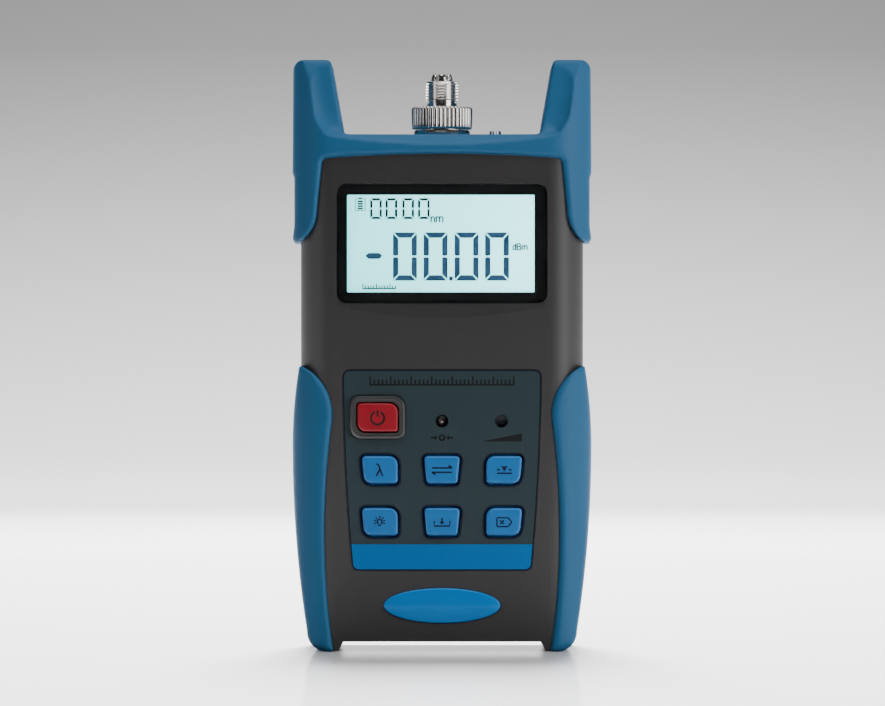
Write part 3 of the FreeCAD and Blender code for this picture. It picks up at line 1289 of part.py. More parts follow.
# ---------------------------------------------------------------- assembly and export
def main():
    pieces = {"front_case": make_front_case(), "rear_case": make_rear_case(),
              "battery_door": make_battery_door()}
    names = ("top_guard", "right_grip", "left_grip")
    pieces.update(zip(names, make_rubber()))
    names = ("lcd_window", "lcd_panel", "lcd_backlight", "elastomer_strips")
    pieces.update(zip(names, make_display()))
    pieces["keypad_overlay"] = make_film()
    names = [label for label, _, _ in KEYS] + ["power_button"]
    pieces.update(zip(names, make_keys()))
    pieces["keypad_mat"] = make_mat()
    pieces["light_sensor"] = make_sensor()
    pieces.update(zip(("trimmer_base", "trimmer_rotor"), make_trimmer()))
    pieces["oval_badge"] = make_badge()
    pieces["main_board"] = make_board()
    pieces.update(zip(("case_screws", "board_screws"), make_screws()))
    for index, cell in enumerate(make_cells(), start=1):
        pieces["battery_cell_%d" % index] = cell
    pieces.update(zip(("contact_springs", "contact_plates"), make_contacts()))
    names = ("adapter_base", "port_nut", "adapter_ring", "adapter_barrel", "ferrule_sleeve",
             "detector_can")
    pieces.update(zip(names, make_port()))
    pieces["lanyard_screw"] = make_lanyard_screw()
    for label, piece in pieces.items():
        piece.Label = label
    document.recompute()
    for item in document.Objects:
        if "Invalid" in item.State or "Error" in item.State:
            raise RuntimeError("%s failed: %s" % (item.Label, item.State))
    for label, piece in pieces.items():
        shape = piece.Shape
        if shape.isNull() or not shape.isValid() or not shape.Solids:
            raise RuntimeError("%s has no sound solid" % label)
    os.makedirs("parts", exist_ok=True)
    for label, piece in pieces.items():
        piece.Shape.exportStep("parts/%s.step" % label)
        print("%-18s %2d solid(s) %9.1f mm3" % (label, len(piece.Shape.Solids),
                                               piece.Shape.Volume))


main()
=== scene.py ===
# %% [markdown]
# # A hand-held optical power meter
# This lesson dresses the solids of a hand-held fibre test instrument. It is a
# dark plastic case with a display and seven keys, held between soft blue
# rubber, and a bright metal fibre port stands between two horns. All of it
# could be modelled afresh. The solids already hold every measure, so they
# stay as the fixed frame, and each new piece takes its place from them.

# %% The frame and the tools
import math

import bmesh
import bpy
import numpy as np
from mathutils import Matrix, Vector


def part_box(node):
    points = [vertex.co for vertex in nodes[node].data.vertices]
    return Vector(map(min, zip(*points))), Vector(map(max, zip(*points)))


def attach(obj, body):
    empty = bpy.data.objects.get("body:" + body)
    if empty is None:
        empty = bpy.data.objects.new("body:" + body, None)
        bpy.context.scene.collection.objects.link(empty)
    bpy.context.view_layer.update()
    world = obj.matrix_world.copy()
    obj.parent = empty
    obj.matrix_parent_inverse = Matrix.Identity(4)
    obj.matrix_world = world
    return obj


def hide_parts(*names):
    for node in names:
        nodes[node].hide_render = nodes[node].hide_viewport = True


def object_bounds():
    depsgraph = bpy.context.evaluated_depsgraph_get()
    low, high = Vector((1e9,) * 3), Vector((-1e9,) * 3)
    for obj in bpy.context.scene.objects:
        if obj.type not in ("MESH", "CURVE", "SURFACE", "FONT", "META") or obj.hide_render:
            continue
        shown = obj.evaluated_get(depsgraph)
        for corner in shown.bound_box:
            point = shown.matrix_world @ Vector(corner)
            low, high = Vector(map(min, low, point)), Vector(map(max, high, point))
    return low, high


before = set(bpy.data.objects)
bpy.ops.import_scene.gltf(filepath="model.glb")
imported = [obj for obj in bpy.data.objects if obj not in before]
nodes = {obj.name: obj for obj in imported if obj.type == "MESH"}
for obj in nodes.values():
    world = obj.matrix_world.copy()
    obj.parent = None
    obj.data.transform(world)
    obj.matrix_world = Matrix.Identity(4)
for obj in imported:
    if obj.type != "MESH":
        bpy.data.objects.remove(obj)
cad_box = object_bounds()
MM = 0.001


def box_mm(node):
    """A node's box in millimetres, as two arrays: its low and its high corner."""
    return [np.array(corner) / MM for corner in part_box(node)]


# %% [markdown]
# ## The camera
# The instrument is looked at square on, and its sides hardly show. A short
# lens close by would make the keys loom and the horns lean apart, so a long
# lens 1.25 m off gives the flat, catalogue look. The camera stands level with
# the middle of the instrument, so neither the feet nor the horns lean.

# %% The camera
CAMERA_DISTANCE = 1.25
LENS, SENSOR = 172.4, 36.0
AIM_X, AIM_Z = 0.15 * MM, 88.2 * MM
front_y = cad_box[0][1]

camera_data = bpy.data.cameras.new("camera")
camera_data.lens = LENS
camera_data.sensor_width = SENSOR
camera_data.clip_start = 0.01
camera_data.clip_end = 50.0
camera = bpy.data.objects.new("camera", camera_data)
camera.location = (AIM_X, front_y - CAMERA_DISTANCE, AIM_Z)
camera.rotation_euler = (math.pi / 2, 0.0, 0.0)
bpy.context.scene.collection.objects.link(camera)
bpy.context.scene.camera = camera
print("camera stands", round(-camera.location.y, 3), "m in front")

# %% [markdown]
# ## Meshes from arrays
# A form can be pushed about by hand, but then its measures are lost. Here
# every new surface is an array of points first, a grid of rows and columns,
# so each measure stays in sight and every run gives the same mesh. One helper
# joins neighbours of such a grid into faces. The other turns points and faces
# into an object, welds the points that fall together at a pole, and turns all
# faces outwards.

# %% Meshes from arrays
WELD = 1e-7


def new_object(name, points, faces, smooth=True):
    """Make an object at the origin from an (n, 3) array of points in mm and a list of faces."""
    mesh = bpy.data.meshes.new(name)
    mesh.from_pydata((np.asarray(points) * MM).tolist(), [], [list(f) for f in faces])
    shell = bmesh.new()
    shell.from_mesh(mesh)
    bmesh.ops.remove_doubles(shell, verts=shell.verts, dist=WELD)
    bmesh.ops.recalc_face_normals(shell, faces=shell.faces)
    shell.to_mesh(mesh)
    shell.free()
    mesh.polygons.foreach_set("use_smooth", [smooth] * len(mesh.polygons))
    mesh.update()
    thing = bpy.data.objects.new(name, mesh)
    bpy.context.scene.collection.objects.link(thing)
    return thing


def grid_faces(rows, columns, close_rows=False, close_columns=False):
    """Quads of a rows by columns grid: each joins (i, j), (i, j+1), (i+1, j+1), (i+1, j)."""
    i = np.arange(rows if close_rows else rows - 1)
    j = np.arange(columns if close_columns else columns - 1)
    i, j = [a.ravel() for a in np.meshgrid(i, j, indexing="ij")]
    i2, j2 = (i + 1) % rows, (j + 1) % columns
    return np.stack([i * columns + j, i * columns + j2, i2 * columns + j2, i2 * columns + j], 1).tolist()


print("a grid of 4 by 3 points has", len(grid_faces(4, 3)), "faces")

# %% [markdown]
# ## Colours and nodes
# Colours are picked as sRGB hex values, as a painter would mix them, and are
# turned to linear light for the shader. A material could be wired by hand in
# the node editor. Here one helper adds any node with its settings and links,
# and another starts a material, so that each finish is only a few lines.

# %% Colours and nodes
def linear(code):
    """Linear RGBA of an sRGB hex code: a channel c gives c / 12.92 below 0.04045.

    Above that it gives ((c + 0.055) / 1.055) to the power 2.4.
    """
    c = np.array([int(code[i:i + 2], 16) for i in (1, 3, 5)]) / 255
    rgb = np.where(c <= 0.04045, c / 12.92, ((c + 0.055) / 1.055) ** 2.4)
    return (*rgb.tolist(), 1.0)


def add(tree, kind, settings=None, inputs=None):
    """Add a node; settings are its attributes, inputs are socket values or the sockets that feed them."""
    node = tree.nodes.new(kind)
    for key, setting in (settings or {}).items():
        setattr(node, key, setting)
    for key, feed in (inputs or {}).items():
        if isinstance(feed, bpy.types.NodeSocket):
            tree.links.new(feed, node.inputs[key])
        else:
            node.inputs[key].default_value = feed
    return node


def new_material(name, sockets):
    """A material, its node tree, its shader with sockets set, and the Object coordinates for patterns."""
    material = bpy.data.materials.new(name)
    material.use_nodes = True
    tree = material.node_tree
    shader = tree.nodes["Principled BSDF"]
    for key, number in sockets.items():
        shader.inputs[key].default_value = number
    return material, tree, shader, add(tree, "ShaderNodeTexCoord").outputs["Object"]


print("middle grey in linear light:", round(linear("#808080")[0], 3))

# %% [markdown]
# ## Drift and grain
# Most moulded finishes here share two things: two tones that drift into each
# other, and a fine grain that catches the light. Image textures could give
# both, but a noise worked out in space has no seams, and its scale is a true
# size in millimetres.

# %% Drift and grain
def per_mm(size):
    """A texture's scale for cells of a size in mm: 1 / (size * 0.001), as Object coordinates are metres."""
    return 1 / (size * MM)


def drifting(tree, place, patch, tones, detail=2.0):
    """Two tones that run into each other in patches of a size in mm: noise gives the share of the second."""
    share = add(tree, "ShaderNodeTexNoise", None, {"Vector": place, "Scale": per_mm(patch), "Detail": detail})
    first, second = [linear(code) for code in tones]
    mixed = add(tree, "ShaderNodeMix", {"data_type": "RGBA"}, {
        "Factor": share.outputs[0], "A": first, "B": second})
    return mixed.outputs["Result"]


def grained(tree, shader, place, size, depth):
    """Tilt the light as a grain does: noise in bumps of a size in mm that stand a depth in mm high."""
    bumps = add(tree, "ShaderNodeTexNoise", None, {"Vector": place, "Scale": per_mm(size), "Detail": 2.0})
    relief = add(tree, "ShaderNodeBump", None, {"Height": bumps.outputs[0], "Distance": depth * MM})
    tree.links.new(relief.outputs[0], shader.inputs["Normal"])


print("the scale of a grain of 0.5 mm:", per_mm(0.5))

# %% [markdown]
# ## The case plastic
# The case is ABS, injection moulded in a steel tool whose faces were spark
# eroded. That leaves a fine, even grain, so the plastic looks satin and a
# little soft at its highlights. The true grain is near 0.1 mm and would not
# show, so it is drawn 0.5 mm coarse and very shallow. Flow in the mould lets
# the charcoal drift by a shade over a few centimetres. A flat colour would be
# quicker, but it looks like paper beside the rubber.

# %% Moulded ABS
abs_plastic, tree, shader, place = new_material(
    "moulded_abs_satin", {"Roughness": 0.44, "IOR": 1.54, "Specular IOR Level": 0.3})
tree.links.new(drifting(tree, place, 18.0, ("#302e2f", "#343233"), 3.0), shader.inputs["Base Color"])
grained(tree, shader, place, 0.5, 0.012)
print(abs_plastic.name)

# %% [markdown]
# ## The rubber
# The guard and the grips are a thermoplastic elastomer, moulded over the case
# or stretched onto it. It is softer than the ABS to the eye as well, with a
# wider and duller highlight. Its tool is sand blasted, which gives a shallow,
# pebbled grain of 0.2 mm, drawn at 0.5 mm. It is the case's recipe again with
# other numbers, so that the two differ as the real ones do.

# %% Moulded elastomer
rubber, tree, shader, place = new_material(
    "overmoulded_tpe_rubber", {"Roughness": 0.5, "IOR": 1.5, "Specular IOR Level": 0.2})
tree.links.new(drifting(tree, place, 25.0, ("#2c6791", "#2f6b97"), 3.0), shader.inputs["Base Color"])
grained(tree, shader, place, 0.5, 0.01)
print(rubber.name)

# %% [markdown]
# ## The display
# The pane is cast acrylic, clear and polished, so it only shows by its
# reflections, and a real thickness of it lets light through. The
# liquid-crystal cell behind it has a matt polariser on its face, pale
# blue-green, lit from behind by a light guide. Its face glows by itself: in
# part this is the backlight, and in part it is painted light for the studio
# lamps, whose light the clear pane keeps off the cell. The glow is painted
# brighter towards the right, where the lamps stand. A lamp behind the cell
# would have to shine through three layers; a face that glows by itself renders clean.

# %% Pane, polariser, backlight and painted glow
PAINTED_GLOW_HALF = 28.0
window_glass, tree, shader, place = new_material("cast_acrylic_pane", {
    "Base Color": linear("#f6fbfb"), "Roughness": 0.03, "IOR": 1.49, "Transmission Weight": 1.0})
wave = add(tree, "ShaderNodeTexNoise", None, {"Vector": place, "Scale": per_mm(30.0)})
relief = add(tree, "ShaderNodeBump", None, {
    "Height": wave.outputs[0], "Distance": 0.02 * MM, "Strength": 0.3})
tree.links.new(relief.outputs[0], shader.inputs["Normal"])

# Painted light: the cell glows partly as its backlight and partly for lamp light that the pane keeps off.
lcd_glass, tree, shader, place = new_material("lcd_polariser_painted_glow", {"Roughness": 0.5, "Emission Strength": 2.8})
axes = add(tree, "ShaderNodeSeparateXYZ", None, {"Vector": place})
# Painted light: the glow runs from darker on the left to brighter on the right, as the lamps fall.
painted_glow = add(tree, "ShaderNodeMapRange", None, {
    "Value": axes.outputs["X"], "From Min": -PAINTED_GLOW_HALF * MM, "From Max": PAINTED_GLOW_HALF * MM})
shade = add(tree, "ShaderNodeMix", {"data_type": "RGBA"}, {
    "Factor": painted_glow.outputs[0], "A": linear("#76dbde"), "B": linear("#a6fbff")})
tree.links.new(shade.outputs["Result"], shader.inputs["Base Color"])
tree.links.new(shade.outputs["Result"], shader.inputs["Emission Color"])
print(window_glass.name, lcd_glass.name)

# %% [markdown]
# ## Inks
# A liquid-crystal segment is not paint: where it is driven, the cell turns
# the light off. Wide segments let a little blue through, and thin ones look
# greyer, because pale light spills in from both sides. Both glow faintly here,
# partly as the backlight through them and partly as painted light, like the
# cell's own glow. The pane's black border is screen printed on its back and is
# as dark as ink can be. The legends are printed too. The navy lines round the
# keys and the film are painted shade, dark where the gaps and the film's
# recess lie in shadow. An image could carry all of them; as pieces of their
# own they stay sharp close up.

# %% Inks
inks = {}
# Painted light: the two liquid-crystal inks glow faintly, partly as backlight through them and partly for
# lamp light the pane keeps off.
for name, tones, painted_glow, patch in (
        ("driven_liquid_crystal", ("#294763", "#345270"), 0.4, 6.0),
        ("thin_liquid_crystal", ("#12262f", "#1a323c"), 0.12, 4.0),
        ("black_screen_ink", ("#020203", "#040506"), 0.0, 12.0),
        ("printed_legend_ink", ("#020305", "#050709"), 0.0, 5.0),
        # Painted shade: this navy ink darkens the gaps round the keys and the film's edge.
        ("navy_painted_gap_shade_ink", ("#020617", "#040a20"), 0.0, 5.0),
        ("key_legend_ink", ("#081529", "#0c1c33"), 0.0, 3.0)):
    inks[name], tree, shader, place = new_material(
        name, {"Roughness": 0.5, "Specular IOR Level": 0.15, "Emission Strength": painted_glow})
    tone = drifting(tree, place, patch, tones)
    tree.links.new(tone, shader.inputs["Base Color"])
    tree.links.new(tone, shader.inputs["Emission Color"])
print(len(inks), "inks")

# %% [markdown]
# ## The keypad film
# The film is polyester, printed on its back and embossed with a fine satin
# texture that takes the glare off it. The texture's true step of 0.05 mm
# would not show, so it is drawn at 0.3 mm. The film is slate grey, with one
# bright blue band along its foot. The band could be a second plate, but both
# colours are one print, so one material holds both, and height above the
# floor decides between them.

# %% Printed polyester
BAND_TOP = 31.7
overlay_film, tree, shader, place = new_material(
    "printed_polyester_film", {"Roughness": 0.45, "IOR": 1.57, "Specular IOR Level": 0.2})
axes = add(tree, "ShaderNodeSeparateXYZ", None, {"Vector": place})
band = add(tree, "ShaderNodeMath", {"operation": "LESS_THAN"}, {0: axes.outputs["Z"], 1: BAND_TOP * MM})
slate = drifting(tree, place, 20.0, ("#253439", "#29383d"), 3.0)
print_colours = add(tree, "ShaderNodeMix", {"data_type": "RGBA"}, {
    "Factor": band.outputs[0], "A": slate, "B": linear("#0078c4")})
tree.links.new(print_colours.outputs["Result"], shader.inputs["Base Color"])
emboss = add(tree, "ShaderNodeTexVoronoi", None, {"Vector": place, "Scale": per_mm(0.3)})
relief = add(tree, "ShaderNodeBump", None, {"Height": emboss.outputs[0], "Distance": 0.004 * MM})
tree.links.new(relief.outputs[0], shader.inputs["Normal"])
print(overlay_film.name)

# %% [markdown]
# ## Keys and badge
# The keys are moulded in coloured ABS and left a little glossier than the
# case, because fingers polish them. What is left of the mould's grain is near
# 0.1 mm and drawn at 0.4 mm. A touch of light wanders under the skin of each,
# which keeps the colour deep. The badge is a printed oval under a poured dome
# of clear resin. A real dome could be a second, clear body over the print; a
# coat over the colour gives the same wet highlight from one body.

# %% Coloured ABS and domed resin
keys_plastic = {}
for name, tones in (
        ("moulded_blue_key", ("#307fcb", "#3787d3")),
        ("moulded_red_key", ("#a81e2d", "#b22434"))):
    keys_plastic[name], tree, shader, place = new_material(name, {
        "Roughness": 0.36, "Specular IOR Level": 0.35,
        "Subsurface Weight": 0.08, "Subsurface Scale": 0.3 * MM})
    tree.links.new(drifting(tree, place, 4.0, tones), shader.inputs["Base Color"])
    grained(tree, shader, place, 0.4, 0.006)

badge_resin, tree, shader, place = new_material("domed_badge_resin", {
    "Roughness": 0.4, "Specular IOR Level": 0.2,
    "Coat Weight": 0.35, "Coat Roughness": 0.22, "Coat IOR": 1.5})
tree.links.new(drifting(tree, place, 9.0, ("#0784d8", "#0989de")), shader.inputs["Base Color"])
print(*keys_plastic, badge_resin.name)

# %% [markdown]
# ## Metals
# The port is brass, turned on a lathe and nickel plated: nearly a mirror,
# warm by a hair, with the tool's fine rings still in it. The rings are 0.08
# mm apart, far too fine to show, and drawn about 1.6 mm apart, so that the
# shine sways a little along each piece. The screws are steel with a duller,
# bluish zinc plate whose crystals cloud the shine; they are a few tenths of a
# millimetre across and drawn at 0.6 mm. Leaf springs and contact plates are
# spring steel with the same nickel. Metal is colour in the reflection and
# nothing below it, so the shader is fully metallic and its index stays as it
# comes.

# %% Nickel and zinc
TOOL_STEP = math.pi / 2
WAVE_ANGLE = 20  # radians that a wave texture runs through in one unit of its scale
nickel, tree, shader, place = new_material("nickel_plated_brass", {"Metallic": 1.0, "Roughness": 0.16})
tree.links.new(drifting(tree, place, 5.0, ("#c6c2bd", "#d8d5d1"), 3.0), shader.inputs["Base Color"])
rings = add(tree, "ShaderNodeTexWave", {"bands_direction": "Z"}, {
    "Vector": place, "Scale": 2 * math.pi * per_mm(TOOL_STEP) / WAVE_ANGLE})
relief = add(tree, "ShaderNodeBump", None, {"Height": rings.outputs[0], "Distance": 0.003 * MM})
tree.links.new(relief.outputs[0], shader.inputs["Normal"])

zinc, tree, shader, place = new_material("zinc_plated_steel", {"Metallic": 1.0, "Roughness": 0.28})
spangle = add(tree, "ShaderNodeTexVoronoi", None, {"Vector": place, "Scale": per_mm(0.6)})
shade = add(tree, "ShaderNodeMix", {"data_type": "RGBA"}, {
    "Factor": spangle.outputs[0], "A": linear("#bcbfc6"), "B": linear("#a9acb2")})
tree.links.new(shade.outputs["Result"], shader.inputs["Base Color"])
print(nickel.name, zinc.name)

# %% [markdown]
# ## Inside pieces
# Under the skin lie a green fibreglass board with a faint weave, drawn a
# little coarse at 0.8 mm, grey silicone rubber for the key mat and the
# contact strips, dark nylon for the trimmer, a clear resin dome over the
# light sensor, and printed film shrunk round the three cells. They show only
# through holes or with the door open, so each gets its true finish and no
# more.

# %% Board, silicone, nylon, resin and jackets
board, tree, shader, place = new_material("fibreglass_board", {"Roughness": 0.32})
weave = add(tree, "ShaderNodeTexChecker", None, {
    "Vector": place, "Scale": per_mm(0.8), "Color1": linear("#14663a"), "Color2": linear("#115c33")})
tree.links.new(weave.outputs["Color"], shader.inputs["Base Color"])

plain = {}
for name, tones, patch, sockets in (
        ("grey_silicone", ("#7e8083", "#8c8e91"), 3.0, {"Roughness": 0.6}),
        ("dark_nylon", ("#161b29", "#1c2233"), 2.0, {"Roughness": 0.45}),
        ("clear_sensor_resin", ("#a78f8a", "#bba39c"), 1.5, {"Roughness": 0.12, "Coat Weight": 0.5}),
        ("printed_cell_jacket", ("#84868c", "#a2a4aa"), 14.0, {"Roughness": 0.25, "Metallic": 0.7})):
    plain[name], tree, shader, place = new_material(name, sockets)
    tree.links.new(drifting(tree, place, patch, tones), shader.inputs["Base Color"])
print(board.name, *plain)

# %% [markdown]
# ## Dressing the solids
# Each solid gets the finish of the piece that it is. Many could be joined
# under one material, but the real pieces are separate, so each keeps its own.
# Later pieces that stand in for a solid take the same materials.

# %% Dressing the solids
def dress(thing, material):
    """Give an object one material."""
    thing.data.materials.clear()
    thing.data.materials.append(material)


for names, finish in (
        ("front_case rear_case battery_door", abs_plastic),
        ("top_guard left_grip right_grip", rubber),
        ("lcd_window", window_glass),
        ("lcd_panel lcd_backlight", lcd_glass),
        ("keypad_overlay", overlay_film),
        ("wavelength_key units_key reference_key backlight_key save_key delete_key",
         keys_plastic["moulded_blue_key"]),
        ("power_button", keys_plastic["moulded_red_key"]),
        ("oval_badge", badge_resin),
        ("adapter_base port_nut adapter_ring adapter_barrel ferrule_sleeve detector_can", nickel),
        ("contact_springs contact_plates", nickel),
        ("case_screws board_screws lanyard_screw", zinc),
        ("elastomer_strips keypad_mat", plain["grey_silicone"]),
        ("main_board", board),
        ("battery_cell_1 battery_cell_2 battery_cell_3", plain["printed_cell_jacket"]),
        ("trimmer_base trimmer_rotor", plain["dark_nylon"]),
        ("light_sensor", plain["clear_sensor_resin"])):
    for name in names.split():
        dress(nodes[name], finish)
print("dressed:", sum(len(node.data.materials) for node in nodes.values()), "solids")

# %% [markdown]
# ## Skins from a distance rule
# Moulded rubber has no flat faces and no sharp rims: it is one skin that
# flows round corners. It could be sculpted, or boxed and subdivided, but such
# a form is easier to describe as a rule than as faces. The rule says how far
# any point lies outside the rubber, and is negative inside it. Two rules meet
# in an edge, and the edge's rounding is one number.

# %% Rules and how they meet
def both(a, b, r):
    """Distance to what lies in a and in b, their edge rounded by r.

    It is min(max(a, b), -r) plus the length of (a + r, b + r) where those are positive.
    """
    return np.minimum(np.maximum(a, b), -r) + np.hypot(np.maximum(a + r, 0), np.maximum(b + r, 0))


def outline_distance(corners, x, z):
    """Signed distance to a closed outline: the nearest edge's, negative inside by the crossing count."""
    a = np.asarray(corners, float)
    b = np.roll(a, -1, axis=0)
    px, pz = x[..., None], z[..., None]
    run = b - a
    t = ((px - a[:, 0]) * run[:, 0] + (pz - a[:, 1]) * run[:, 1]) / (run ** 2).sum(1)
    t = np.clip(t, 0, 1)
    gap = np.hypot(px - a[:, 0] - t * run[:, 0], pz - a[:, 1] - t * run[:, 1]).min(-1)
    crosses = ((a[:, 1] > pz) != (b[:, 1] > pz))
    where = a[:, 0] + (pz - a[:, 1]) / np.where(run[:, 1] == 0, 1, run[:, 1]) * run[:, 0]
    inside = (crosses & (px < where)).sum(-1) % 2 == 1
    return np.where(inside, -gap, gap)


square = [(-1, -1), (1, -1), (1, 1), (-1, 1)]
print("middle of a square, 2 wide:", outline_distance(square, np.zeros(1), np.zeros(1))[0], "outside it")

# %% [markdown]
# ## Where a rule changes sign
# The skin is where the rule is zero. Space is cut into fine cubic cells, and
# the rule is worked out at every corner at once. Between a corner inside and
# one outside, the zero lies in proportion to the two distances.

# %% Sign changes in the cells
def crossings(field):
    """Sign changes along each cell's twelve edges: the sum of their places in the cell, and their count."""
    cells = tuple(s - 1 for s in field.shape)
    total, hits = np.zeros(cells + (3,)), np.zeros(cells)
    ends = [np.s_[:-1], np.s_[1:]]
    for axis in range(3):
        first, second = [a for a in range(3) if a != axis]
        for u, v in ((0, 0), (0, 1), (1, 0), (1, 1)):
            pick = [None] * 3
            pick[first], pick[second] = ends[u], ends[v]
            pick[axis] = ends[0]
            near = field[tuple(pick)]
            pick[axis] = ends[1]
            far = field[tuple(pick)]
            cross = (near < 0) != (far < 0)
            spot = [0.0, 0.0, 0.0]
            spot[first], spot[second] = u, v
            spot[axis] = np.where(cross, near / np.where(cross, near - far, 1), 0)
            for k in range(3):
                total[..., k] += np.where(cross, spot[k], 0)
            hits += cross
    return total, hits


one_cell = np.ones((2, 2, 2))
one_cell[0, 0, 0] = -1
print("with one corner inside, a cell is crossed on", int(crossings(one_cell)[1].sum()), "edges")

# %% [markdown]
# ## From cells to a skin
# Each cell that the skin passes through gets one point, the mean of its
# crossings, and each crossed edge becomes a face between its four cells. A
# Remesh modifier does the same from a rough mesh, but it can't read a rule.
# Points off the cells' corners keep the skin smooth, which blocks would not.

# %% The skin of a rule
def skin(rule, low, high, cell):
    """Points and quads of rule(x, y, z) = 0 in the box from low to high, with cells of a size, all in mm.

    A crossed cell holds the mean of its crossings, and a quad joins the four cells round each crossed edge.
    """
    axes = [np.arange(l, h + cell, cell) for l, h in zip(low, high)]
    x, y, z = axes[0][:, None, None], axes[1][None, :, None], axes[2][None, None, :]
    field = rule(x, y, z) + np.zeros([len(a) for a in axes])
    total, hits = crossings(field)
    active = hits > 0
    number = np.full(hits.shape, -1)
    number[active] = np.arange(active.sum())
    places = np.argwhere(active) + total[active] / hits[active][:, None]
    points = np.array([a[0] for a in axes]) + places * cell
    faces = []
    for axis in range(3):
        u, v = [(axis + 1) % 3, (axis + 2) % 3]
        start, end = [np.s_[1:-1]] * 3, [np.s_[1:-1]] * 3
        start[axis], end[axis] = np.s_[:-1], np.s_[1:]
        inner = field < 0
        edge = np.argwhere(inner[tuple(start)] != inner[tuple(end)]) + 1
        edge[:, axis] -= 1
        ring = []
        for du, dv in ((-1, -1), (0, -1), (0, 0), (-1, 0)):
            spot = edge.copy()
            spot[:, u] += du
            spot[:, v] += dv
            ring.append(number[tuple(spot.T)])
        faces += np.stack(ring, 1).tolist()
    return points, faces


ball_points, ball_faces = skin(lambda x, y, z: np.sqrt(x * x + y * y + z * z) - 3, (-4,) * 3, (4,) * 3, 0.5)
print("a ball of 3 mm:", len(ball_faces), "faces, radii up to",
      round(float(np.sqrt((ball_points ** 2).sum(1)).max()), 2), "mm")

# %% [markdown]
# ## Outlines with arcs
# Every moulded outline here is a chain of straight runs and arcs, mirrored
# about the middle, with its corners eased. A Bezier curve could be drawn by
# eye. An arc between two known ends, with a known radius, is what the
# toolmaker had on the drawing.

# %% Outlines with arcs
def arc(start, end, radius, side=1, steps=24):
    """Points from start towards end, end left out, on a circle of a radius.

    The centre lies sqrt(radius^2 - half chord^2) off the chord; side +1 bulges to the right of the run.
    """
    start, end = np.array(start, float), np.array(end, float)
    run = end - start
    half = np.hypot(*run) / 2
    reach = math.sqrt(radius ** 2 - half ** 2)
    centre = (start + end) / 2 + side * np.array([-run[1], run[0]]) / (2 * half) * reach
    first = math.atan2(*(start - centre)[::-1])
    turns = first + side * 2 * math.asin(half / radius) * np.arange(steps) / steps
    return (centre + radius * np.stack([np.cos(turns), np.sin(turns)], 1)).tolist()


def mirror_outline(right):
    """A closed outline from its right half, listed upwards: the same corners come back down at -x."""
    right = np.array(right, float)
    return np.concatenate([right, right[::-1] * (-1, 1)]).tolist()


def eased(corners, radii):
    """Round chosen corners: cut back r * tan(turn / 2) along both edges, with an arc between the cuts."""
    made = []
    count = len(corners)
    for i, corner in enumerate(corners):
        if i not in radii:
            made.append(tuple(corner))
            continue
        corner = np.array(corner, float)
        back = np.array(corners[i - 1], float) - corner
        on = np.array(corners[(i + 1) % count], float) - corner
        back, on = back / np.hypot(*back), on / np.hypot(*on)
        turn = math.pi - math.acos(np.clip(back @ on, -1, 1))
        cut = radii[i] * math.tan(turn / 2)
        side = 1 if back[0] * on[1] - back[1] * on[0] < 0 else -1
        start, end = corner + back * cut, corner + on * cut
        made += [tuple(p) for p in arc(start, end, radii[i], side, 8)] + [tuple(end)]
    return made


print("a square with eased corners has", len(eased(square, dict.fromkeys(range(4), 0.2))), "points")

# %% [markdown]
# ## The guard's outline
# The guard wraps the top of the case: two horns, a bar between them and two
# legs that end in a point. Only its right half is listed, from the bar's
# lower end down the leg, up the outer side and over the horn. The waist on
# the outer side is the small step where a leg runs into its horn.

# %% The guard's outline
SIDE, FACE, CASE_TOP = box_mm("rear_case")[1]
OUTER, RUBBER_FACE, HORN_TOP = box_mm("top_guard")[1]
BAR_TOP = CASE_TOP + 2.7
LEG_INNER, LEG_LEAN, POINT = SIDE - 6.7, 1.6, 1.0
BAR_END = CASE_TOP - 4.6
BEND, LEG_TIP = BAR_END - 15.0, BAR_END - 25.3
HORN_LEAN, HORN_TIP, HORN_ROOT, WAIST = 0.3, 11.3, 15.4, 0.6
NIP, HORN_CORNER, BAR_ARCH = 1.6, 3.0, 446.0
run_out, drop = OUTER - POINT - LEG_INNER - LEG_LEAN, BEND - LEG_TIP
leg_curve = arc((LEG_INNER + LEG_LEAN, BEND), (OUTER - POINT, LEG_TIP),
                (run_out ** 2 + drop ** 2) / (2 * run_out))
guard_right = [(LEG_INNER, BAR_END)] + leg_curve + [
    (OUTER - POINT, LEG_TIP), (OUTER, LEG_TIP + 1.6),
    (OUTER - WAIST, BEND - 4.8), (OUTER - WAIST, BEND + 9.6), (OUTER, BEND + 10.8),
    (OUTER - HORN_LEAN, HORN_TOP), (OUTER - HORN_LEAN - HORN_TIP, HORN_TOP), (OUTER - HORN_ROOT, BAR_TOP)]
tip, last = len(guard_right) - 3, 2 * len(guard_right) - 1
guard_outline = eased(mirror_outline(guard_right), {
    0: NIP, tip: HORN_CORNER, tip + 1: NIP, tip + 2: NIP,
    last: NIP, last - tip: HORN_CORNER, last - tip - 1: NIP, last - tip - 2: NIP})
guard_outline += arc(guard_outline[-1], guard_outline[0], BAR_ARCH, -1)[1:]
print("guard outline:", len(guard_outline), "corners,", round(2 * OUTER, 1), "mm wide")

# %% [markdown]
# ## The scoop
# Between the horns the guard is hollowed front and rear, so that fingers
# reach the port, and the horns get thinner towards their tips. The hollow
# could be carved with a sculpting brush. Here it is an outline of its own, and
# the face lies deeper the further inside that outline it is, along a soft
# curve.

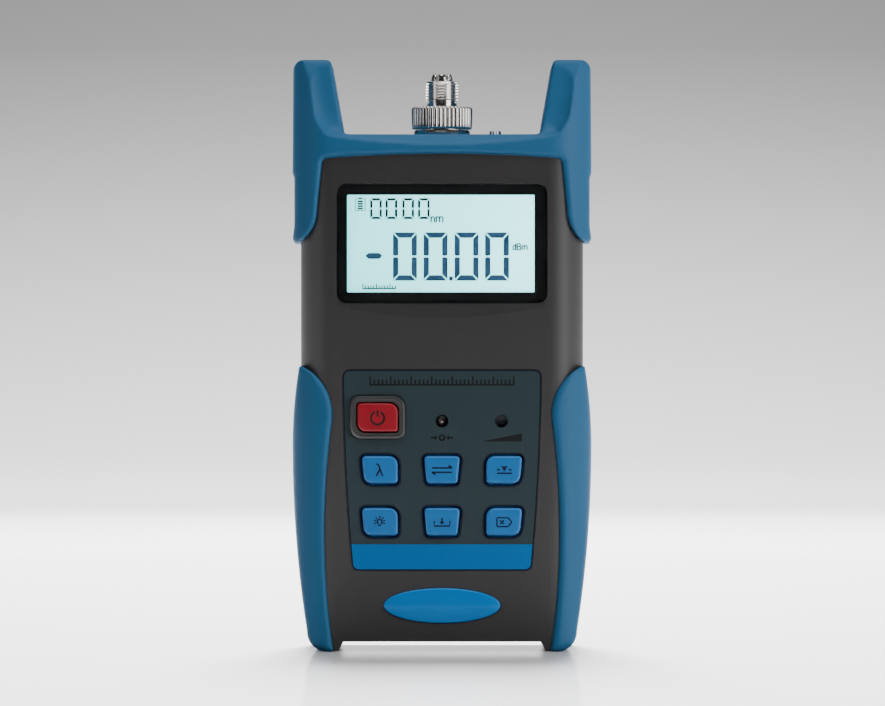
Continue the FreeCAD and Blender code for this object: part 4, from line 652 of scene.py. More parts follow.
# %% The scoop
SCOOP_DEPTH, SCOOP_SLOPE, SCOOP_EASE, SWEEP_DEPTH, SWEEP_START = 3.4, 1.5, 1.3, 3.9, 1.0
scoop = mirror_outline([
    (OUTER - 18.5, CASE_TOP + 1.2), (OUTER - 10.1, CASE_TOP + 2.4), (OUTER - 6.3, CASE_TOP + 7.0),
    (OUTER - 4.3, CASE_TOP + 15.3), (OUTER - 2.9, HORN_TOP + 5.0)])
last = len(scoop) - 1
scoop = eased(scoop, {1: 3.5, 2: 7.0, 3: 25.0, last - 3: 25.0, last - 2: 7.0, last - 1: 3.5})
scoop += arc(scoop[-1], scoop[0], 226.0, 1)[1:]


def carved(x, z):
    """How far the guard's face lies back: a square-law sweep up the horns, or the scoop, whichever is deeper.

    The scoop is depth * (1 - exp(-ease * slope * distance inside its outline / depth)).
    """
    up = np.clip((z - CASE_TOP - SWEEP_START) / (HORN_TOP - CASE_TOP - SWEEP_START), 0, None)
    deep = np.maximum(-outline_distance(scoop, x, z), 0) * SCOOP_SLOPE
    bowl = SCOOP_DEPTH * (1 - np.exp(-deep / SCOOP_DEPTH * SCOOP_EASE))
    return np.maximum(SWEEP_DEPTH * up ** 2, bowl)


sunk = carved(np.array([OUTER]), np.array([HORN_TOP]))[0]
print("at a horn's tip the face lies", round(float(sunk), 2), "mm back")

# %% [markdown]
# ## The case's room
# The guard and the grips are fitted round the case, so they need a space for
# it inside them. The case's solid could be cut out with a Boolean modifier,
# but its own rule is exact and leaves no slivers.

# %% The case's room
REBATE, FIT = 1.2, 0.05
CASE_CORNER, TOE_RADIUS, TOE_TOP, FLANK_TOP, FLANK_BOW = 10.5, 5.83, 6.25, 61.0, 346.0
TOE = SIDE - 2.0 - 1.4
INNER_SIDE, INNER_TOE, FOOT = SIDE - REBATE + FIT, TOE - REBATE + FIT, 0.3 - FIT
inside_outline = mirror_outline(
    [(SIDE - 12.9, 2.95), (SIDE - 11.4, FOOT)]
    + arc((INNER_TOE - 5.4, FOOT), (INNER_TOE, TOE_TOP), TOE_RADIUS)
    + arc((INNER_TOE, TOE_TOP), (INNER_SIDE, FLANK_TOP), FLANK_BOW)
    + [(INNER_SIDE, FLANK_TOP), (INNER_SIDE, CASE_TOP + FIT)])


def section_rule(x, y, half_width, half_depth, corner):
    """Distance to a bar with a rounded rectangle for its section.

    It is the length of the overshoot past the corner's centre, less the corner's radius.
    """
    u, v = np.abs(x) - half_width + corner, np.abs(y) - half_depth + corner
    return np.hypot(np.maximum(u, 0), np.maximum(v, 0)) + np.minimum(np.maximum(u, v), 0) - corner


def case_room(x, y, z):
    """Distance to the space that the case's rebated core fills: its section and its outline together."""
    section = section_rule(x, y, INNER_SIDE, FACE - REBATE + FIT, CASE_CORNER - REBATE)
    return np.maximum(section, outline_distance(inside_outline, x, z))


print("the case's room is", round(2 * INNER_SIDE, 2), "mm wide")

# %% [markdown]
# ## The guard
# One rule joins all of it: outline and rounded section, the carved faces, and
# the case, the port and the lanyard screw taken out. The rim's rounding grows
# towards the inner edge of the legs, as the mould's does.

# %% The guard
RUBBER_CORNER, RUBBER_WRAP, SOFT, INNER_ROLL = 13.6, 1.0, 0.9, 2.0
PORT_HOLE, STRAP_HOLE, STRAP_ACROSS, STRAP_AHEAD = 7.45, 1.25, 15.85, 5.0
LEG_ROLL, BAR_ROLL, ROLL_WIDE = 4.2, 3.0, 3.0
CELL, ROOM = 0.5, 1.0


def ride(thing, material, body, slot, *replaced):
    """Dress a new piece, let it move with a body, and let it stand in for nodes; slot is not used."""
    dress(thing, material)
    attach(thing, body)
    if replaced:
        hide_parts(*replaced)


def guard_rule(x, y, z):
    """Distance to the guard: outline, section and carved faces, less the case and the port's holes."""
    flat = outline_distance(guard_outline, x, z)
    round_section = section_rule(x, y, OUTER + RUBBER_WRAP, RUBBER_FACE, RUBBER_CORNER)
    faces = np.abs(y) - RUBBER_FACE + carved(x, z)
    inward = (np.clip((OUTER - LEG_ROLL - np.abs(x)) / ROLL_WIDE, 0, 1)
              * np.clip((BAR_TOP - BAR_ROLL - z) / ROLL_WIDE, 0, 1))
    body = both(flat, np.maximum(round_section, faces), SOFT + (INNER_ROLL - SOFT) * inward)
    port = PORT_HOLE - np.hypot(x, y)
    strap = STRAP_HOLE - np.hypot(x - STRAP_ACROSS, y + STRAP_AHEAD)
    return np.maximum(np.maximum(body, -case_room(x, y, z)), np.maximum(port, strap))


guard = new_object("guard_rubber", *skin(
    guard_rule, (-OUTER - ROOM, -RUBBER_FACE - ROOM, LEG_TIP - ROOM),
    (OUTER + ROOM, RUBBER_FACE + ROOM, HORN_TOP + ROOM), CELL))
ride(guard, rubber, "meter", "blue_rubber", "top_guard")
print("guard:", len(guard.data.polygons), "faces")

# %% [markdown]
# ## The grips
# A grip's outer side is one long soft bow. Its rim is tight on the outside
# and rolls down to the case in a wider curve on the inside, where a thumb
# rests, so the rounding grows from the outer side to the inner. The skin is
# worked out once, and the left grip is the same array with x turned round.

# %% The grips
GRIP_TOP, SHOULDER, BELLY, HEEL, GRIP_ROLL = 84.6, 68.0, 61.0, 6.0, 3.0
grip_outline = (
    arc((SIDE + 0.3, GRIP_TOP), (SIDE - 9.6, SHOULDER), 15.8, 1)
    + arc((SIDE - 9.6, SHOULDER), (SIDE - 10.0, 0.0), 238.0, -1)
    + [(SIDE - 10.0, 0.0)] + arc((SIDE - 7.4, 0.0), (SIDE - 2.0, HEEL), TOE_RADIUS, 1)
    + arc((SIDE - 2.0, HEEL), (OUTER, BELLY), FLANK_BOW, 1)
    + arc((OUTER, BELLY), (SIDE + 0.3, GRIP_TOP), 140.0, 1))


def grip_rule(x, y, z):
    """Distance to the right grip: outline and section, less the case.

    The rim is rounded by SOFT outside and INNER_ROLL inside, with the smooth step 3 s^2 - 2 s^3 between.
    """
    flat = outline_distance(grip_outline, x, z)
    round_section = section_rule(x, y, OUTER + RUBBER_WRAP, RUBBER_FACE, RUBBER_CORNER)
    inward = np.clip((SIDE - GRIP_ROLL - x) / ROLL_WIDE, 0, 1)
    roll = SOFT + (INNER_ROLL - SOFT) * inward ** 2 * (3 - 2 * inward)
    return np.maximum(both(flat, round_section, roll), -case_room(x, y, z))


points, faces = skin(grip_rule, (SIDE - 11.5, -RUBBER_FACE - ROOM, -ROOM),
                     (OUTER + ROOM, RUBBER_FACE + ROOM, GRIP_TOP + ROOM), CELL)
for side, hand in (("right", 1), ("left", -1)):
    grip = new_object(side + "_grip_rubber", points * (hand, 1, 1), faces)
    ride(grip, rubber, "meter", "blue_rubber", side + "_grip")
print("grips:", len(faces), "faces each")

# %% [markdown]
# ## Lofted buttons
# A key is a rounded outline carried up through a profile: a wide lip behind
# the case wall, a straight side, and a rolled edge into a flat face. A box
# with a Bevel modifier could not give each corner its own radius. Each row of
# points is the outline moved inwards and forwards by one step of the profile,
# so one small function makes keys, the lines of painted shade round them, and
# the collar.

# %% Lofts
def lofted(outline, profile, ring=False):
    """Points and faces of an outline carried through (inset, depth) pairs.

    P = outline + inset * inward normal, at y = depth. A ring's profile closes on itself; any other is capped.
    """
    flat = np.asarray(outline, float)
    area = np.sum(flat[:, 0] * np.roll(flat[:, 1], -1) - np.roll(flat[:, 0], -1) * flat[:, 1])
    flat = flat if area > 0 else flat[::-1]
    run = np.roll(flat, -1, axis=0) - np.roll(flat, 1, axis=0)
    run /= np.hypot(run[:, 0], run[:, 1])[:, None]
    inward = np.stack([-run[:, 1], run[:, 0]], 1)
    rows = [np.insert(flat + inset * inward, 1, depth, axis=1) for inset, depth in profile]
    if not ring:
        middle = np.insert(flat.mean(0), 1, 0.0) + np.zeros((len(flat), 3))
        rows = [middle + (0, profile[0][1], 0)] + rows + [middle + (0, profile[-1][1], 0)]
    return np.concatenate(rows), grid_faces(len(rows), len(flat), ring, True)


def rolled(inset, front, height, steps=5):
    """A quarter of an ellipse from side to face: inset (1 - cos a), depth front + height (1 - sin a)."""
    a = np.linspace(0, math.pi / 2, steps)
    return list(zip(inset * (1 - np.cos(a)), front + height * (1 - np.sin(a))))


def plate_outline(half_wide, half_tall, radii, middle, lean=(0, 0)):
    """A rectangle about a middle, with a radius for each corner and the foot drawn in by lean."""
    corners = [(-half_wide + lean[0], -half_tall), (half_wide - lean[1], -half_tall),
               (half_wide, half_tall), (-half_wide, half_tall)]
    return np.array(eased(corners, dict(enumerate(radii)))) + middle


print("a rolled edge:", [tuple(np.round(step, 2).tolist()) for step in rolled(0.65, 0.0, 0.6)])

# %% [markdown]
# ## The keys
# Six blue keys stand in two rows of three. The outer sides lean in at the
# foot, and each outer key has two large corners and two small ones, so that
# the rows look like a fan. A lip behind the wall keeps each key in the case.
# A navy line of painted shade lies on the film round each hole, where the gap
# round the key is in shadow, as a plate of its own that stays behind when the
# key is pressed.

# %% The keys
KEY_HALF, KEY_TALL, SLANT = 10.7 / 2, 8.2 / 2, 0.8
LARGE, SMALL, LIP, LIP_THICK = 2.6, 1.1, 1.5, 0.9
EDGE_IN, EDGE_HIGH, FACE_IN = 0.65, 0.6, 1.0
PITCH, UPPER_ROW, LOWER_ROW = 18.4, 53.65, 38.3
FILM_FRONT = box_mm("keypad_overlay")[0][1]
GAP_SHADE_PROUD = 0.03
key_places = {"wavelength_key": (-1, UPPER_ROW), "units_key": (0, UPPER_ROW), "reference_key": (1, UPPER_ROW),
              "backlight_key": (-1, LOWER_ROW), "save_key": (0, LOWER_ROW), "delete_key": (1, LOWER_ROW)}


def button(node, outline, lip, finish, slot):
    """One key between its solid's two planes: lip, side and rolled edge. It gives back the front plane."""
    front, back = [corner[1] for corner in box_mm(node)]
    profile = [(FACE_IN, back), (-lip, back), (-lip, back - LIP_THICK), (0.0, back - LIP_THICK)]
    profile += rolled(EDGE_IN, front, EDGE_HIGH) + [(FACE_IN, front)]
    cap = new_object(node + "_cap", *lofted(outline, profile))
    ride(cap, finish, node, slot, node)
    return front


def painted_gap_shade_line(name, outline, near, far):
    """A line of painted shade on the film, where a gap lies in shadow, that follows an outline between two
    insets from it.
    """
    front = FILM_FRONT - GAP_SHADE_PROUD
    profile = [(near, front), (far, front), (far, FILM_FRONT), (near, FILM_FRONT)]
    line = new_object(name, *lofted(outline, profile, ring=True), smooth=False)
    ride(line, inks["navy_painted_gap_shade_ink"], "meter", "film")


# Painted shade: each key gets a dark line on the film round its hole, where the gap lies in shadow.
key_front = {}
for name, (hand, row) in key_places.items():
    radii = {-1: (LARGE, SMALL, LARGE, SMALL), 0: (SMALL,) * 4, 1: (SMALL, LARGE, SMALL, LARGE)}[hand]
    outline = plate_outline(
        KEY_HALF, KEY_TALL, radii, (hand * PITCH, row), (SLANT * (hand <= 0), SLANT * (hand >= 0)))
    key_front[name] = button(name, outline, LIP, keys_plastic["moulded_blue_key"], "blue_key")
    painted_gap_shade_line(name + "_keyline", outline, -0.55, -1.0)
print("key faces at y =", sorted(set(round(v, 2) for v in key_front.values())))

# %% [markdown]
# ## The power button and its collar
# The red button sits in a moulded collar that keeps it from being pressed by
# chance. The collar belongs to the case. Its edge is rolled by the mould, and
# the solid could be bevelled again, but a rolled ring of the same plastic
# laid over its plain chamfer keeps the solid as it is.

# %% The power button and its collar
POWER_PLACE, POWER_HALF, POWER_TALL, POWER_LIP = (-19.0, 69.15), 12.1 / 2, 8.6 / 2, 1.25
GAP, RIM, COLLAR_ROLL, COLLAR_FOOT, COLLAR_RISE = 0.35, 1.7, 0.04, 0.5, 0.55
power_outline = plate_outline(POWER_HALF, POWER_TALL, (LARGE, SMALL, LARGE, SMALL), POWER_PLACE)
key_front["power_button"] = button(
    "power_button", power_outline, POWER_LIP, keys_plastic["moulded_red_key"], "red_key")

reach = GAP + RIM
collar_outline = plate_outline(POWER_HALF + reach, POWER_TALL + reach, (3.6, 2.6, 3.6, 2.6), POWER_PLACE)
bow = np.linspace(0, math.pi, 13)
arch = [((RIM / 2) * (1 - np.cos(a)) - COLLAR_ROLL * np.cos(a),
         front_y / MM + COLLAR_FOOT - COLLAR_RISE * np.sin(a)) for a in bow]
collar = new_object("power_collar_roll", *lofted(collar_outline, arch + [(RIM / 2, -FACE + 0.3)], ring=True))
ride(collar, abs_plastic, "meter", "housing")
print("power button at", POWER_PLACE)

# %% [markdown]
# ## The badge
# The oval badge is a poured resin dome. Its profile is a short upright rim, a
# tight roll, and then a very flat rise to the middle, which is what surface
# tension gives. Moving an ellipse inwards along its normals would fold at its
# pointed ends, so each row is a smaller ellipse instead. It is left blank.

# %% The badge
low, high = box_mm("oval_badge")
BADGE_LONG, BADGE_TALL, DOME, BADGE_RIM = 34.5 / 2, 10.4 / 2, 0.3, 0.55
SPOKES, BACK_IN, TOP_HALF_LEFT = 96, 1.5, 0.02
middle = (low + high) / 2
turns = np.linspace(0, 2 * math.pi, SPOKES, endpoint=False)
roll = np.radians(np.linspace(0, 90, 7))
rise = np.linspace(0, 1, 9)[1:]
inset = np.concatenate([[BACK_IN, 0.0], BADGE_RIM * (1 - np.cos(roll)),
                        BADGE_RIM + (BADGE_TALL - BADGE_RIM - TOP_HALF_LEFT) * rise])
depth = np.concatenate([[high[1], high[1]], low[1] + BADGE_RIM * (1 - np.sin(roll)),
                        low[1] - DOME * (1 - (1 - rise) ** 2)])
x = middle[0] + (BADGE_LONG - inset[:, None]) * np.cos(turns)
z = middle[2] + (BADGE_TALL - inset[:, None]) * np.sin(turns)
points = np.stack([x, depth[:, None] + 0 * x, z], -1).reshape(-1, 3)
caps = [list(range(SPOKES - 1, -1, -1)), list(range(len(points) - SPOKES, len(points)))]
badge = new_object("badge_dome", points, grid_faces(*x.shape, False, True) + caps)
ride(badge, badge_resin, "meter", "badge", "oval_badge")
print("badge:", len(badge.data.polygons), "faces")

# %% [markdown]
# ## Printed marks
# Prints, display segments and key symbols are thin flat plates, a few
# hundredths of a millimetre thick. An image on the surface could carry them,
# but a plate's edge stays sharp at any distance.

# %% Flat plates
INK = 0.04


def printed(name, outlines, front, ink, body, slot):
    """One piece of print from closed outlines in mm, dressed in its ink.

    Each outline stands at depth front and again INK behind it, with a band of quads between the two.
    """
    points, faces = [], []
    for outline in outlines:
        flat = np.asarray(outline, float)
        count, base = len(flat), len(points)
        for depth in (front, front + INK):
            points += np.insert(flat, 1, depth, axis=1).tolist()
        faces.append(list(range(base, base + count)))
        faces.append(list(range(base + 2 * count - 1, base + count - 1, -1)))
        i = np.arange(count)
        j = (i + 1) % count
        faces += np.stack([base + i, base + count + i, base + count + j, base + j], 1).tolist()
    ride(new_object(name, points, faces, smooth=False), ink, body, slot)
    print(name + ":", len(outlines), "marks")


def bar(x0, z0, x1, z1):
    """A plain rectangle between two corners."""
    return [(x0, z0), (x1, z0), (x1, z1), (x0, z1)]


def shifted(outlines, x, z):
    """The same outlines, moved by x and z."""
    return [np.asarray(outline, float) + (x, z) for outline in outlines]


print("a bar moved up by 1 mm:", shifted([bar(0, 0, 4, 1)], 0, 1)[0].tolist())

# %% [markdown]
# ## Lines of ink
# A line of ink is a path with a width. A curve with a bevel would draw it as
# a tube. As a flat outline it runs down one side of the path and back up the
# other, and the plate makes it solid.

# %% Strokes
def stroke(path, width):
    """The outline of a line of ink: the path moved half a width to each side along its mean normal."""
    p = np.asarray(path, float)
    along = np.gradient(p, axis=0)
    normal = np.stack([-along[:, 1], along[:, 0]], 1)
    normal /= np.hypot(normal[:, 0], normal[:, 1])[:, None]
    return np.concatenate([p + normal * width / 2, (p - normal * width / 2)[::-1]])


def strokes(width, *paths):
    """Several lines of ink of one width."""
    return [stroke(path, width) for path in paths]


def edged(width, corners):
    """A closed outline drawn side by side, so that its corners stay square."""
    return strokes(width, *zip(corners, corners[1:] + corners[:1]))


def bow_stroke(x, z, radius, width, first, last, steps=24):
    """A stroke along a circle between two angles in degrees, counted from +X."""
    turns = np.radians(np.linspace(first, last, steps))
    return stroke(np.stack([x + radius * np.cos(turns), z + radius * np.sin(turns)], 1), width)


print("a line 4 mm long and 1 mm wide:", stroke([(0, 0), (4, 0)], 1).tolist())

# %% [markdown]
# ## The reading
# The display shows only zeros, as a meter does when no light reaches it.
# Seven bars make a digit, with mitred ends and a thin gap where two meet. A
# font could set them, but a segment's shape is etched in the glass and is no
# letter. Every place is in millimetres from the middle of the pane.

# %% Seven-segment zeros
def zero(x, z, wide, tall, line, gap):
    """A seven-segment zero with its lower left corner at x, z: six mitred bars of width line, parted by gap.

    The right side is wide less the left one's x, and the lower half is tall less the upper one's z.
    """
    half = tall / 2
    top = np.array([(gap, tall), (wide - gap, tall),
                    (wide - line - gap / 2, tall - line), (line + gap / 2, tall - line)])
    side = np.array([(0, tall - gap), (line, tall - line - gap), (line, half + gap * 1.2),
                     (line / 2, half + gap / 2), (0, half + gap * 1.2)])
    upper = [top, side, side * (-1, 1) + (wide, 0)]
    return shifted(upper + [part * (1, -1) + (0, tall) for part in upper], x, z)


pane_low, pane_high = box_mm("lcd_window")
PANE = (pane_low + pane_high) / 2
SEGMENT_PROUD = 0.06
SEGMENT_FRONT = box_mm("lcd_panel")[0][1] - SEGMENT_PROUD
large, small = [], []
for left in (-14.52, -5.46, 3.71, 12.72):
    large += zero(left, -10.92, 7.1, 14.25, 1.6, 0.3)
for left in (-21.26, -16.7, -11.73, -7.11):
    small += zero(left, 7.3, 3.46, 6.15, 0.68, 0.24)
large += [bar(2.08, -10.92, 3.24, -9.7)]
large += [[(-22.7, -3.62), (-21.8, -4.5), (-18.5, -4.5), (-17.6, -3.62), (-18.5, -2.74), (-21.8, -2.74)]]
printed("lcd_large_segments", shifted(large, PANE[0], PANE[2]), SEGMENT_FRONT,
        inks["driven_liquid_crystal"], "meter", "display_glass")

# %% [markdown]
# ## The small signs on the display
# A battery sign stands over the digits on the left, a short bar scale lies
# under them, and the units nm and dBm stand beside the two readings. They are
# etched in the same glass, with thinner lines. The letters are drawn as
# strokes on a grid that is one small letter high, like an engraver's.

# %% Battery sign, bar scale and units
BATTERY_PLACE, BAR_SCALE_PLACE, BAR_SCALE_LINE = (-24.19, 11.59), (-23.39, -12.57), 0.34
sign = edged(0.18, bar(-1.45, -1.8, 1.45, 1.7)) + strokes(0.3, [(-0.5, 1.95), (0.5, 1.95)])
sign += strokes(0.5, *[[(-0.78, v), (0.78, v)] for v in (-1.2, -0.5, 0.2, 0.9)])
small += shifted(sign, *BATTERY_PLACE)
ticks = [[(u, -0.62), (u, 0.75 if i % 5 == 0 else 0.2)] for i, u in enumerate(np.arange(0, 9.9, 0.8))]
small += shifted(strokes(BAR_SCALE_LINE, *ticks, [(-0.17, -0.72), (9.77, -0.72)]), *BAR_SCALE_PLACE)

small_n = [[(0, 0), (0, 1)], [(0, 0.7), (0.14, 0.95), (0.42, 0.95), (0.56, 0.7), (0.56, 0)]]
small_m = small_n + [[(0.56, 0.7), (0.7, 0.95), (0.98, 0.95), (1.12, 0.7), (1.12, 0)]]
small_d = [[(0.6, 1.45), (0.6, 0)],
           [(0.6, 0.75), (0.45, 0.97), (0.15, 0.97), (0, 0.7),
            (0, 0.3), (0.15, 0.03), (0.45, 0.03), (0.6, 0.25)]]
large_b = [[(0, 0), (0, 1.45), (0.5, 1.45), (0.68, 1.28), (0.68, 0.95), (0.5, 0.78), (0, 0.78)],
           [(0.5, 0.78), (0.76, 0.6), (0.76, 0.2), (0.55, 0), (0, 0)]]


def unit(letters, x, z, size, width):
    """A unit as strokes: (x, z) + size * (path + the letter's place across), for each path of each letter."""
    return strokes(width, *[(np.array(path) + (across, 0)) * size + (x, z)
                            for letter, across in letters for path in letter])


small += unit(((small_n, 0.0), (small_m, 0.86)), -3.2, 6.3, 1.75, 0.42)
small += unit(((small_d, 0.0), (large_b, 0.95), (small_m, 2.05)), 21.0, -1.85, 1.32, 0.4)
printed("lcd_small_segments", shifted(small, PANE[0], PANE[2]), SEGMENT_FRONT,
        inks["thin_liquid_crystal"], "meter", "display_glass")

# %% [markdown]
# ## The pane's black border
# The real border is printed on the back of the pane, so it looks deep and
# wet. It is one flat frame of ink here, just inside the pane, between a
# rounded rectangle at its edge and the clear viewing area. Two loops of
# points, each at two depths, close into a ring of quads.

# %% The black border
def rounded_box(half_wide, half_tall, radius, steps=8):
    """A rectangle about 0, 0 with its corners rounded, listed anticlockwise."""
    turns = np.radians(np.linspace(0, 90, steps))
    spots = []
    for k, (sx, sz) in enumerate(((1, 1), (-1, 1), (-1, -1), (1, -1))):
        a = turns + k * math.pi / 2
        spots.append(np.stack([sx * (half_wide - radius) + radius * np.cos(a),
                               sz * (half_tall - radius) + radius * np.sin(a)], 1))
    return np.concatenate(spots)


VIEW_WIDE, VIEW_TALL, VIEW_SHIFT, VIEW_CORNER = 55.4 / 2, 28.8 / 2, -0.35, 0.35
BORDER_IN, BORDER_CORNER, BORDER_AHEAD, BORDER_THICK = 0.05, 2.7, 0.1, 0.06
pane_half = (pane_high - pane_low) / 2 - BORDER_IN
outer = rounded_box(pane_half[0], pane_half[2], BORDER_CORNER) + (PANE[0], PANE[2])
inner = rounded_box(VIEW_WIDE, VIEW_TALL, VIEW_CORNER) + (PANE[0] + VIEW_SHIFT, PANE[2])
near = pane_high[1] - BORDER_AHEAD
far = near + BORDER_THICK
loops = [np.insert(loop, 1, depth, axis=1)
         for loop, depth in ((outer, near), (inner, near), (inner, far), (outer, far))]
border = new_object(
    "window_border", np.concatenate(loops), grid_faces(4, len(outer), True, True), smooth=False)
ride(border, inks["black_screen_ink"], "meter", "window")
print("viewing area:", 2 * VIEW_WIDE, "by", 2 * VIEW_TALL, "mm")

# %% [markdown]
# ## Symbols on the keys
# Each key carries a plain sign for what it does, printed in ink on its face:
# on and off, wavelength, change of units, zero reference, lamp, store and
# delete. Words in a font would be quicker, but a few strokes read at a glance
# in any language. The signs move with their keys.

# %% Key symbols
LINE, SIGN_PROUD = 0.48, 0.02
rays = [(math.cos(a), math.sin(a)) for a in np.radians([-20, 13, 47, 90, 133, 167, 200])]
signs = {
    "power_button": [bow_stroke(0, -0.1, 1.95, 0.58, 118, 422)] + strokes(0.58, [(0, 0.3), (0, 2.2)]),
    "wavelength_key": strokes(
        0.52, [(-1.0, 1.7), (-0.55, 1.75), (-0.2, 1.25), (0.75, -1.45), (1.1, -1.65)],
        [(0.1, 0.35), (-0.95, -1.7)]),
    "units_key": strokes(
        LINE, [(-2.9, 0.65), (2.9, 0.65)], [(1.9, 1.35), (3.0, 0.65)],
        [(-2.9, -0.65), (2.9, -0.65)], [(-1.9, -1.35), (-3.0, -0.65)]),
    "reference_key": strokes(
        LINE, [(-2.2, -0.95), (2.2, -0.95)], [(-2.2, 0.1), (-1.3, 0.1)], [(1.3, 0.1), (2.2, 0.1)])
    + [[(-0.95, 1.15), (0.0, -0.5), (0.95, 1.15)]],
    "backlight_key": [bow_stroke(0, 0.1, 0.72, LINE, -60, 240)]
    + strokes(LINE, [(-0.45, -0.95), (0.45, -0.95)])
    + strokes(0.38, *[[(1.1 * u, 0.1 + 1.1 * v), (1.75 * u, 0.1 + 1.75 * v)] for u, v in rays]),
    "save_key": strokes(
        LINE, [(-2.3, 0.3), (-2.3, -1.15), (2.3, -1.15), (2.3, 0.3)], [(0, 1.3), (0, -0.3)])
    + [[(-0.85, 0.15), (0.0, -0.75), (0.85, 0.15)]],
    "delete_key": edged(0.42, [(-2.2, 1.3), (1.1, 1.3), (2.2, 0.0), (1.1, -1.3), (-2.2, -1.3)])
    + strokes(0.4, [(-1.3, 0.6), (-0.1, -0.6)], [(-1.3, -0.6), (-0.1, 0.6)])}
for name, outlines in signs.items():
    front = key_front[name] - SIGN_PROUD
    if name == "power_button":
        printed(name + "_symbol", shifted(outlines, *POWER_PLACE), front,
                inks["printed_legend_ink"], name, "red_key")
    else:
        hand, row = key_places[name]
        printed(name + "_symbol", shifted(outlines, hand * PITCH, row), front,
                inks["key_legend_ink"], name, "blue_key")

# %% [markdown]
# ## Marks on the film
# The film carries a plain ruled scale along its top, an arrow-and-dot sign
# under the light sensor's hole, and a rising wedge, for less and more, under
# the trimmer's hole. None of them spells a word. A navy line of painted shade
# runs round the film's own edge, where its recess lies in shadow, and it is
# made like those round the keys.

# %% Marks on the film
FILM_TOP, FILM_FOOT, TOP_HALF, FOOT_HALF, FILM_BOW, FILM_CORNER = 83.2, 24.0, 29.3, 26.4, 700.0, 2.0
SCALE_Z, SIGN_Z, WEDGE_X, TICKS = 79.9, 63.2, 17.6, 36
right_side = arc((FOOT_HALF, FILM_FOOT), (TOP_HALF, FILM_TOP), FILM_BOW, 1, 20) + [(TOP_HALF, FILM_TOP)]
count = len(right_side)
film_outline = eased(
    mirror_outline(right_side), dict.fromkeys((0, count - 1, count, 2 * count - 1), FILM_CORNER))
# Painted shade: a dark line round the film's edge, where its recess lies in shadow.
painted_gap_shade_line("film_keyline", film_outline, 0.02, 0.34)

ruled = [bar(-21.5, -1.3, 21.5, -0.85)]
for i, u in enumerate(np.linspace(-21.2, 21.2, TICKS)):
    ruled.append(bar(u - 0.24, -0.9, u + 0.24, 1.35 if i % 5 == 0 else 0.45))
sensor_sign = [bow_stroke(0, 0, 0.75, 0.5, 0, 360, 20)]
for side in (-1, 1):
    sensor_sign += strokes(0.5, [(side * 3.3, 0), (side * 1.7, 0)])
    sensor_sign += [[(side * 1.3, 0), (side * 2.1, 0.7), (side * 2.1, -0.7)]]
wedge = [[(-6.0, -1.1), (6.0, -1.1), (6.0, 1.2)]]
marks = shifted(ruled, 0, SCALE_Z) + shifted(sensor_sign, 0, SIGN_Z) + shifted(wedge, WEDGE_X, SIGN_Z)
printed("film_marks", marks, FILM_FRONT - SIGN_PROUD, inks["printed_legend_ink"], "meter", "film")

# %% [markdown]
# ## Turned metal
# The port's pieces were cut on a lathe, so each is a profile spun round the
# port's axis. A Screw modifier would spin it too. Here the grid is worked out
# directly, because what breaks the symmetry, such as ridges, a thread or
# slots, can be worked into it: the radius or the height changes with the
# angle.

# %% Turned bodies
def spun(r, z, turns):
    """Points and faces of a turned body: (r cos t, r sin t, z).

    Rows follow a closed profile of r and z, and columns the angles t.
    """
    r, z, turns = np.broadcast_arrays(r, z, turns)
    points = np.stack([r * np.cos(turns), r * np.sin(turns), z], -1)
    return points.reshape(-1, 3), grid_faces(*r.shape, True, True)


def column(pairs):
    """Two columns of numbers, radius and height, from a list of pairs."""
    r, z = np.array(pairs, float).T
    return r[:, None], z[:, None]


washer = spun(*column([(1, 0), (2, 0), (2, 1), (1, 1)]), np.arange(12) * math.pi / 6)
print("a washer on 12 angles:", len(washer[1]), "faces")

# %% [markdown]
# ## The knurled ring
# Straight ridges are rolled into the ring's rim, so that fingers can turn it.
# There are forty-two. A ridge could be one bar, copied round, but rolled
# metal has no seam at its foot. So a ridge is a rounded hump in the one
# surface, |cos| to a low power, with a narrow groove between two of them.

# %% The knurled ring
ring_low, ring_high = box_mm("adapter_ring")
RING_RADIUS, ring_foot, ring_top = ring_high[0], ring_low[2], ring_high[2]
RIDGES, RIDGE_DEPTH, RIDGE_STEPS, HUMP = 42, 0.42, 14, 0.6
RING_BORE, RING_MOUTH, RING_LIP, RING_EDGE = 6.06, 5.15, 1.1, 0.4
r, z = column([
    (RING_BORE, ring_foot), (RING_RADIUS - 1.0, ring_foot), (RING_RADIUS - 0.55, ring_foot + 0.05),
    (RING_RADIUS - 0.15, ring_foot + 0.35), (RING_RADIUS, ring_foot + 0.75), (RING_RADIUS, ring_top - 0.6),
    (RING_RADIUS - 0.12, ring_top - 0.3), (RING_RADIUS - RING_EDGE, ring_top - 0.06),
    (RING_RADIUS - 0.9, ring_top), (RING_MOUTH, ring_top), (RING_MOUTH, ring_top - RING_LIP),
    (RING_BORE, ring_top - RING_LIP)])
turns = np.linspace(0, 2 * math.pi, RIDGES * RIDGE_STEPS, endpoint=False)
groove = 1 - np.abs(np.cos(turns * RIDGES / 2)) ** HUMP
rim = np.clip((r - RING_RADIUS + 1.0) / 0.8, 0, 1)
ring = new_object("knurled_ring", *spun(r - RIDGE_DEPTH * groove * rim, z, turns))
ride(ring, nickel, "adapter_nut", "nickel", "adapter_ring")
print("ring:", len(ring.data.polygons), "faces")

# %% [markdown]
# ## The threaded barrel
# A fine thread runs up the barrel. A helix with a small profile carried along
# it would give it too, but its ends would stick out. Here it is one height
# field wound round the cylinder: the radius follows a wave along the height,
# moved on by one pitch for each turn, and it dies out at both ends. The true
# pitch of 0.75 mm is drawn as 0.85 mm. A key slot is milled through the
# thread at the rear.

